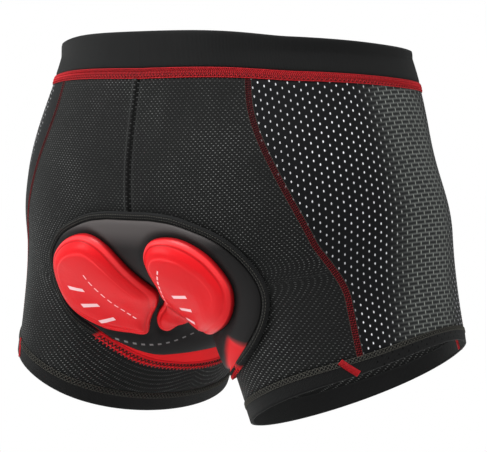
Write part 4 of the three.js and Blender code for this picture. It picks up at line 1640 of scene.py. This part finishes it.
    def base(self) -> Shell:
        """The red fabric base inside the binding."""
        s, half = self.inset(*self.outline_rows(self.rows), self.binding_width - 1.2)
        grid = self.grid(*self.rows_across(s, half))
        grid.marks["deep"] = smooth((self.low[0] - grid.flat[..., 0]) / 6)
        sheet = Sheet.weld([grid])
        return Shell("pad_base", sheet, self.gap + self.base_wall, self.gap, 0.1)

    def foam_thickness(self, s: Array, t: Array) -> Array:
        """Thickness of the foam, which rounds down to its rim."""
        share = np.clip(self.foam_loop().depth(s, t) / self.foam_rounding, 0, 1)
        return mix(self.foam_edge, self.foam_wall, np.sqrt(1 - (1 - share) ** 2))

    def foam_top(self, s: Array, t: Array, gels: list[Gel]) -> Array:
        """Height of the foam over the cloth: full in the middle, lower at its rim and round the gel."""
        top = self.gap + self.base_wall + self.foam_thickness(s, t)
        for gel in gels:
            near = gel.outline.depth(s, t)
            top = top - 1.5 * hump(np.minimum(near + 1.0, 0), 3.2)
        return top

    def foam(self, gels: list[Gel]) -> Shell:
        """The charcoal foam."""
        start = self.foam_room()[0][0]
        end = self.foam_outline.rows[-1][0]
        s = mix(start, end, np.linspace(0, 1, self.foam_rows) ** 1.25)
        grid = self.grid(*self.rows_across(s, self.foam_half(s)))
        places_s, places_t = grid.flat[..., 0], grid.flat[..., 1]
        red = smooth((places_s - self.red_corner[0]) / 2) * smooth((-places_t - self.red_corner[1]) / 4)
        grid.marks["red_share"] = red
        top = self.foam_top(places_s, places_t, gels)
        grid.marks["top"] = top - 2.4 * red
        # Painted highlight along the foam's top border, where light from above falls.
        first, last = self.pale_rows
        grid.marks["light"] = smooth((last - places_s) / 16) * smooth((places_s - first) / 6)
        # Painted shade beside and between the gels, and the foam's own black lower band below deep_from.
        near = np.stack([gel.outline.depth(places_s, places_t) for gel in gels]).max(axis=0)
        deep = np.maximum(smooth((near + 7) / 6), smooth((places_s - self.deep_from) / 6))
        grid.marks["deep"] = deep * (1 - red)
        inside = self.foam_loop().depth(places_s, places_t)
        grid.marks["soft"] = smooth((inside - 4) / 14) * smooth((-near - 3) / 6)
        sheet = Sheet.weld([grid])
        top = sheet.marks.pop("top")
        return Shell("pad_foam", sheet, top, self.gap + self.base_wall + 0.05, 0.3)

    def binding_top(self, s: Array, share: Level) -> Array:
        """Height of the binding over the cloth: a ridge with two grooves, flat on the lower edge."""
        profile = np.sqrt(np.clip(1 - np.abs(2 * share - 1) ** 2.4, 0, 1))
        groove = 0.45 * (hump(share - 0.34, 0.07) + hump(share - 0.68, 0.07))
        height = self.gap + 0.5 + (self.binding_height - 0.5) * profile - groove
        return mix(height, self.gap + self.low_height, smooth((s - self.low[0]) / self.low[1]))

    def binding(self) -> Shell:
        """The edge sewn round the pad: a folded black ridge, and a flat red edge below."""
        across = np.linspace(0, 1, 13)
        loops = [self.loop(self.binding_width * share) for share in across]
        corners = np.stack([np.concatenate([loop.corners, loop.corners[:1]]) for loop in loops])
        grid = self.grid(corners[..., 0], corners[..., 1])
        grid.marks["top"] = self.binding_top(corners[..., 0], across[:, None])
        grid.marks["red_share"] = smooth((corners[..., 0] - self.low[0]) / 2)
        sheet = Sheet.weld([grid])
        top = sheet.marks.pop("top")
        return Shell("pad_binding", sheet, top, self.gap, 0.1)

    def gel_height(self, gel: Gel, s: Array, t: Array, reach: Array) -> Array:
        """Height of a gel cushion over its seat on the foam."""
        inside = np.maximum(gel.outline.depth(s, t), 0)
        dome = gel.dome * np.sqrt(np.clip(1 - reach**gel.rounding, 0, 1))
        wall = gel.rim * np.sqrt(np.clip(1 - (1 - np.clip(inside / 2.4, 0, 1)) ** 2, 0, 1))
        seam = -0.35 * hump(inside - gel.shoulder, 0.8)
        upper = smooth((150 - s) / 30)
        ledge = gel.ledge * upper * (smooth((inside - 10.2) / 1.8) - 1)
        return wall + dome * smooth(inside / (gel.shoulder * 2.2)) ** 0.5 + seam + ledge * smooth(inside / 6)

    def cushion(self, gel: Gel) -> Shell:
        """A gel cushion as a domed closed form."""
        middle, border = np.linspace(0, 0.7, 24), mix(0.7, 1.0, np.linspace(0, 1, 36) ** 0.8)
        shares = np.concatenate([middle[:-1], border])
        s, t = self.fill(gel.outline, gel.centre, shares)
        grid = self.grid(s, t, reach=np.broadcast_to(shares[:, None], s.shape))
        depth = gel.outline.depth(s, t)
        # Painted highlight on the upper part: along the rim and along a line inside the outline.
        upper = smooth((gel.centre[0] + 12 - s) / 30)
        rim = smooth((3.2 - depth) / 0.8) * smooth((depth - 0.4) / 0.6)
        grid.marks["light"] = upper * (0.55 * rim + 0.6 * hump(depth - gel.line, 0.45))
        grid.marks["soft"] = smooth((depth - gel.shoulder) / 10)
        # Painted shade: a dark edge where the cushion meets the foam, and a dark line in the seam groove of
        # the upper part.
        grid.marks["deep"] = 0.75 * smooth((0.7 - depth) / 0.6) + 0.5 * upper * hump(depth - 3.9, 0.5)
        seat = self.gap + self.base_wall + self.layer_gap + self.foam_thickness(s, t)
        grid.marks["under"] = seat - self.sink
        grid.marks["over"] = seat + self.gel_height(gel, s, t, grid.marks["reach"])
        sheet = Sheet.weld([grid])
        over, under = sheet.marks.pop("over"), sheet.marks.pop("under")
        return Shell(gel.name, sheet, over, under, 0.0)


# ---- rows of stitches on the pieces ---------------------------------------------------------


@dataclass
class Sewing:
    """Every visible row of stitches: red ones, and dark ones."""

    shorts: Shorts
    pad: SeatPad
    tree: StitchTree
    red: bpy.types.Material
    dull: bpy.types.Material
    dark: bpy.types.Material
    black: bpy.types.Material
    tape: tuple[tuple[float, StitchRow], ...] = (
        (0.05, StitchRow(2.2, 2.5, 0.8, lift=0.15, height=0.25)),
        (0.26, StitchRow(1.5, 2.5, 0.75, turn=58, height=0.4)),
        (0.48, StitchRow(1.5, 2.5, 0.75, turn=-58, height=0.45)),
        (0.76, StitchRow(1.65, 2.4, 0.62, turn=90, zigzag=34, height=0.4)),
        (0.95, StitchRow(2.2, 2.5, 0.8, lift=0.15, height=0.25)),
    )
    seam_offsets: tuple[float, ...] = (-1.75, -0.6, 0.55, 1.7)
    seam_row: StitchRow = StitchRow(1.7, 0.95, 0.42, lift=0.15, height=0.1)
    seam_edge: StitchRow = StitchRow(3.0, 2.8, 0.3, lift=0.1, height=0.05)
    seam_edge_offset: float = 2.5
    hem: tuple[tuple[float, StitchRow], ...] = (
        (0.02, StitchRow(2.4, 2.1, 0.45, lift=0.2, height=0.35)),
        (0.10, StitchRow(1.5, 2.6, 0.45, lift=0.25, turn=90, zigzag=38, height=0.6)),
        (0.21, StitchRow(1.5, 2.6, 0.45, lift=0.25, turn=90, zigzag=-38, height=0.7)),
        (0.28, StitchRow(2.4, 2.1, 0.45, lift=0.2, height=0.7)),
    )
    binding: tuple[float, ...] = (0.34, 0.68)
    binding_row: StitchRow = StitchRow(2.3, 1.7, 0.5, lift=0.25)
    low_edge: float = 176.0
    comb: StitchRow = StitchRow(1.7, 3.0, 0.75, lift=0.25, turn=90, zigzag=30)
    teeth: StitchRow = StitchRow(3.4, 3.2, 1.1, lift=0.5, turn=90)
    tack: StitchRow = StitchRow(0.72, 4.8, 0.75, lift=0.35, turn=84, height=0.75)
    tack_rings: tuple[float, float] = (0.937, 0.996)
    tack_angles: tuple[tuple[Side, float, float], ...] = (
        (Side.RIGHT, 60.0, 54.5), (Side.LEFT, 68.0, 73.0),
        (Side.RIGHT, -67.0, -67.0), (Side.LEFT, -67.0, -67.0),
    )

    def waist(self) -> None:
        """The band of red stitches under the waistband."""
        top, bottom = self.shorts.cloth.tape
        runs = [(self.shorts.round_waist(mix(top, bottom, share)), row) for share, row in self.tape]
        self.tree.sew("tape_stitches", runs, self.red, Slot.STITCHING)

    def side_seams(self, side: Side) -> None:
        """Four columns of short red stitches down both side seams, with a thin edge."""
        cloth = self.shorts.cloth
        v = np.linspace(cloth.tape[1] + 0.004, cloth.hem_band, 60)
        red, dark = [], []
        for seam in (cloth.back_seam, cloth.front_seam):
            guide = self.shorts.down_cloth(v, seam(v), side)
            red += [(guide, replace(self.seam_row, offset=offset)) for offset in self.seam_offsets]
            dark += [(guide, replace(self.seam_edge, offset=x * self.seam_edge_offset)) for x in (-1, 1)]
        self.tree.sew(f"seam_stitches_{side.word}", red, self.dull, Slot.STITCHING)
        self.tree.sew(f"seam_edges_{side.word}", dark, self.dark, Slot.BAND)

    def hems(self, side: Side) -> None:
        """Two zigzag rows between straight rows at the top of a hem band."""
        top = self.shorts.cloth.hem_band
        runs = [(self.shorts.round_leg(mix(top, 1.0, share), side), row) for share, row in self.hem]
        self.tree.sew(f"hem_stitches_{side.word}", runs, self.dark, Slot.BAND)

    def on_pad(self, places: Array, height: Level, closed: bool = False) -> Guide:
        """A line through places s, t at a height over the cloth."""
        points = self.pad.seat.points(places[:, 0], places[:, 1])
        normals = self.pad.seat.normals(points)
        return Guide(points + normals * np.broadcast_to(height, (len(points),))[:, None], normals, closed)

    def pad_edge(self) -> None:
        """Two rows in the binding's grooves, and the comb of stitches on the lower edge."""
        dark, black, red = [], [], []
        for share in self.binding:
            loop = self.pad.loop(self.pad.binding_width * share).corners
            dark.append((self.on_pad(loop, self.pad.binding_top(loop[:, 0], share), True), self.binding_row))
        for distance, row, rows in ((2.4, self.comb, black), (0.4, self.teeth, red)):
            loop = self.pad.loop(distance).corners
            low = loop[loop[:, 0] > self.low_edge]
            share = distance / self.pad.binding_width
            rows.append((self.on_pad(low, self.pad.binding_top(low[:, 0], share) + 0.1), row))
        self.tree.sew("pad_edge_stitches", dark, self.dark, Slot.BAND)
        self.tree.sew("pad_edge_comb", black, self.black, Slot.BAND)
        self.tree.sew("pad_edge_teeth", red, self.red, Slot.STITCHING)

    def tacks(self) -> None:
        """Bar tacks across the hem bands, where the seams end."""
        v = np.linspace(*self.tack_rings, 12)
        runs = []
        for side, start, end in self.tack_angles:
            guide = self.shorts.down_cloth(v, np.linspace(start, end, 12), side)
            runs.append((guide, self.tack))
            if start < 0:
                inside = Guide(guide.points, -guide.outwards)
                runs.append((inside, replace(self.tack, height=self.shorts.hem_wall - 0.3)))
        self.tree.sew("bar_tacks", runs, self.red, Slot.STITCHING)

    def all(self) -> None:
        """Sews every row."""
        self.waist()
        for side in Side:
            self.side_seams(side)
            self.hems(side)
        self.pad_edge()
        self.tacks()


# ---- studio ---------------------------------------------------------------------------------


@dataclass(frozen=True)
class Studio:
    """Camera, soft lights, pale floor and white surroundings."""

    azimuth: float = 221.306
    elevation: float = 1.835
    roll: float = 0.895
    distance: float = 1.7
    target: tuple[float, float, float] = (0.0, -0.0033, -0.124)
    lens: float = 161.45
    shift: tuple[float, float] = (0.0204, 0.0002)
    floor_z: float = -0.62
    floor_radius: float = 2.0
    floor_corners: int = 96
    ambient: float = 0.42
    lamps: tuple[tuple[str, tuple[float, float, float], float, float], ...] = (
        ("top_light", (0.3, 0.75, 1.5), 0.9, 46.0),
        ("back_light", (1.3, 1.5, 0.6), 1.0, 16.0),
        ("side_light", (-1.8, -0.3, 0.4), 1.0, 16.0),
    )

    def camera(self) -> None:
        """Places the camera."""
        a, e, r = (math.radians(x) for x in (self.azimuth, self.elevation, self.roll))
        back = Vector((math.sin(a) * math.cos(e), -math.cos(a) * math.cos(e), math.sin(e)))
        right = Vector((math.cos(a), math.sin(a), 0.0))
        up = back.cross(right)
        tilted = right * math.cos(r) + up * math.sin(r)
        data = bpy.data.cameras.new("camera")
        data.lens = self.lens
        data.shift_x, data.shift_y = self.shift
        data.clip_end = 100.0
        camera = placed("camera", data)
        axes = Matrix((tilted, back.cross(tilted), back)).transposed().to_4x4()
        camera.matrix_world = Matrix.Translation(Vector(self.target) + back * self.distance) @ axes
        bpy.context.scene.camera = camera

    def light(self, name: str, place: tuple[float, float, float], size: float, power: float) -> None:
        """Adds a soft light that looks at the shorts."""
        data = bpy.data.lights.new(name, "AREA")
        data.shape = "DISK"
        data.size = size
        data.energy = power
        lamp = placed(name, data)
        lamp.location = place
        aim = Vector(self.target) - Vector(place)
        lamp.rotation_euler = aim.to_track_quat("-Z", "Y").to_euler()

    def lights(self) -> None:
        """Adds the lights and the white surroundings."""
        for lamp in self.lamps:
            self.light(*lamp)
        world = bpy.data.worlds.new("white_room")
        world.use_nodes = True
        tree = world.node_tree
        lit = tree.nodes["Background"]
        lit.inputs["Color"].default_value = (1.0, 1.0, 1.0, 1.0)
        lit.inputs["Strength"].default_value = self.ambient
        seen = tree.nodes.new("ShaderNodeBackground")
        seen.inputs["Color"].default_value = (1.0, 1.0, 1.0, 1.0)
        path = tree.nodes.new("ShaderNodeLightPath")
        either = tree.nodes.new("ShaderNodeMixShader")
        tree.links.new(path.outputs["Is Camera Ray"], either.inputs[0])
        tree.links.new(lit.outputs[0], either.inputs[1])
        tree.links.new(seen.outputs[0], either.inputs[2])
        tree.links.new(either.outputs[0], tree.nodes["World Output"].inputs["Surface"])
        bpy.context.scene.world = world

    def floor(self) -> None:
        """Adds a plain pale floor."""
        mesh = bpy.data.meshes.new("floor")
        count = self.floor_corners
        turns = [2 * math.pi * k / count for k in range(count)]
        points = [
            (self.floor_radius * math.cos(a), self.floor_radius * math.sin(a), self.floor_z) for a in turns
        ]
        mesh.from_pydata(points, [], [list(range(count))])
        maker = Maker("pale_floor")
        maker.base((0.92, 0.92, 0.92))
        maker.plug(maker.shader.inputs["Roughness"], 0.9)
        mesh.materials.append(maker.material)
        placed("floor", mesh)

    def build(self) -> None:
        """Sets everything up."""
        self.camera()
        self.lights()
        self.floor()
        view = bpy.context.scene.view_settings
        view.view_transform = "Standard"
        view.look = "None"


CREASES = {
    Side.LEFT: (
        Crease((0.86, 168), (0.80, 118), 0.9, 7.0, 6), Crease((0.92, 150), (0.84, 96), -0.7, 6.0, -4),
        Crease((0.12, 96), (0.30, 104), 0.5, 6.0), Crease((0.62, 62), (0.70, 88), 0.8, 7.0, 3),
        Crease((0.70, -165), (0.78, -112), 1.1, 7.0, -6), Crease((0.74, -160), (0.86, -100), -0.9, 6.0, 4),
        Crease((0.14, -88), (0.34, -96), 0.6, 7.0), Crease((0.56, -8), (0.60, 24), 0.7, 8.0, 4),
    ),
    Side.RIGHT: (
        Crease((0.74, 150), (0.60, 108), 1.1, 7.5, 5), Crease((0.84, 142), (0.70, 86), -0.9, 7.0, -5),
        Crease((0.90, 112), (0.78, 66), 0.9, 6.5, 3), Crease((0.12, 72), (0.26, 80), 0.6, 6.0),
        Crease((0.46, 60), (0.58, 84), 0.7, 8.0, -3), Crease((0.82, 34), (0.90, 8), 0.6, 7.0, 3),
        Crease((0.72, -160), (0.80, -104), 1.0, 7.5, -5), Crease((0.78, -150), (0.90, -92), -0.8, 6.0, 5),
        Crease((0.13, -66), (0.30, -74), 0.5, 7.0), Crease((0.60, 6), (0.66, -26), 0.6, 8.0, 3),
    ),
}


def bars(
    middles: Places, start: tuple[float, float], end: tuple[float, float], count: int
) -> tuple[Bar, ...]:
    """Plain bars on a cushion, with a line of dashes beside them."""
    return tuple(Bar(s, t, 7.5, 1.2, 90.0) for s, t in middles) + dashes(start, end, count)


BARS_LEFT = bars(((145.0, 70.0), (157.0, 69.5), (169.0, 68.0)), (133.0, 49.0), (172.0, 44.0), 9)
BARS_RIGHT = bars(((144.0, -40.0), (155.0, -37.0), (165.0, -35.0)), (125.0, -33.0), (152.0, -15.0), 8)


def paint_all() -> dict[str, bpy.types.Material]:
    """Every finish of the shorts, by the name of its material."""
    low = {"sheen": 0.05, "specular": 0.09}
    shine = {"roughness": 0.36, "specular": 0.13, "sheen": 0.0}
    olive, ink, black = (0.060, 0.058, 0.047), (0.006, 0.006, 0.006), (0.008, 0.008, 0.008)
    finishes = (
        DottedKnit("black_knit", **low),
        HoleMesh("black_mesh", **low),
        PlainBand("band_elastic", **low),
        Thread("tape_base", sheen=0.0, colour=(0.16, 0.004, 0.006), shade=(0.05, 0.002, 0.003)),
        Thread("red_thread", roughness=0.6, sheen=0.0, specular=0.2),
        # The seam thread is painted darker towards the waist as shade.
        Thread(
            "dull_thread", sheen=0.0, colour=(0.30, 0.008, 0.012), shade=(0.16, 0.004, 0.007),
            top=(0.085, 0.004, 0.006), fade=(-0.20, -0.04),
        ),
        Thread("dark_thread", sheen=0.0, colour=olive, shade=(0.03, 0.029, 0.025), top=olive),
        Thread("black_thread", sheen=0.0, colour=ink, shade=ink, top=ink),
        SmoothJersey(
            "red_fabric", sheen=0.0, specular=0.2, colour=(0.86, 0.012, 0.016), deep=black, grain=0.00012
        ),
        # The foam's light colour is a painted highlight, and its deep colour paints shade and its black
        # lower band.
        PrintedJersey(
            "charcoal_foam", roughness=0.55, sheen=0.0, specular=0.14, colour=(0.0085, 0.0080, 0.0080),
            shade=(0.0068, 0.0064, 0.0064), light=(0.062, 0.055, 0.054), deep=(0.0055, 0.0052, 0.0053),
            ink=(0.16, 0.155, 0.155), bars=dashes((183.0, 76.0), (229.0, 16.0), 12),
        ),
        # The gels keep the painted highlight and painted shade colours that SmoothJersey gives them.
        PrintedJersey("red_gel_left", bars=BARS_LEFT, **shine),
        PrintedJersey("red_gel_right", bars=BARS_RIGHT, **shine),
        SmoothJersey("red_gel_center", **shine),
    )
    return {finish.name: finish.paint() for finish in finishes}


def main() -> None:
    """Builds the pieces in order and reports each."""
    logging.basicConfig(level=logging.INFO, format="%(name)s: %(message)s")
    Studio().build()
    cloth = Cloth()
    shorts, pad = Shorts(cloth, creases=CREASES), SeatPad(SeatMap(cloth))
    paint = paint_all()
    made: dict[str, bpy.types.Object] = {}

    def keep(shell: Shell, finish: str, slot: Slot) -> None:
        """Builds a piece that stands for the CAD node of the same name."""
        made[shell.name] = own(shell.build(paint[finish]), slot, shell.name)

    keep(shorts.waistband(), "band_elastic", Slot.BAND)
    keep(shorts.seam_tape(), "tape_base", Slot.STITCHING)
    keep(shorts.front_panel(), "black_knit", Slot.KNIT)
    for side in Side:
        keep(shorts.back_panel(side), "black_knit", Slot.KNIT)
        keep(shorts.side_panel(side), "black_mesh", Slot.MESH)
        keep(shorts.hem(side), "band_elastic", Slot.BAND)
    gels = pad.gels()
    keep(pad.base(), "red_fabric", Slot.FABRIC)
    keep(pad.binding(), "band_elastic", Slot.BAND)
    foam = pad.foam(gels)
    keep(foam, "charcoal_foam", Slot.FOAM)
    swelling = Swelling()
    swelling.apply(made["pad_foam"], foam.sheet.normals, 0.6 * foam.sheet.marks["soft"])
    for gel in gels:
        shell = pad.cushion(gel)
        keep(shell, f"red_{gel.name}", Slot.GEL)
        swelling.apply(made[gel.name], shell.sheet.normals, shell.sheet.marks["soft"])
    threads = (paint[f"{kind}_thread"] for kind in ("red", "dull", "dark", "black"))
    Sewing(shorts, pad, StitchTree(), *threads).all()


if __name__ == "__main__":
    main()
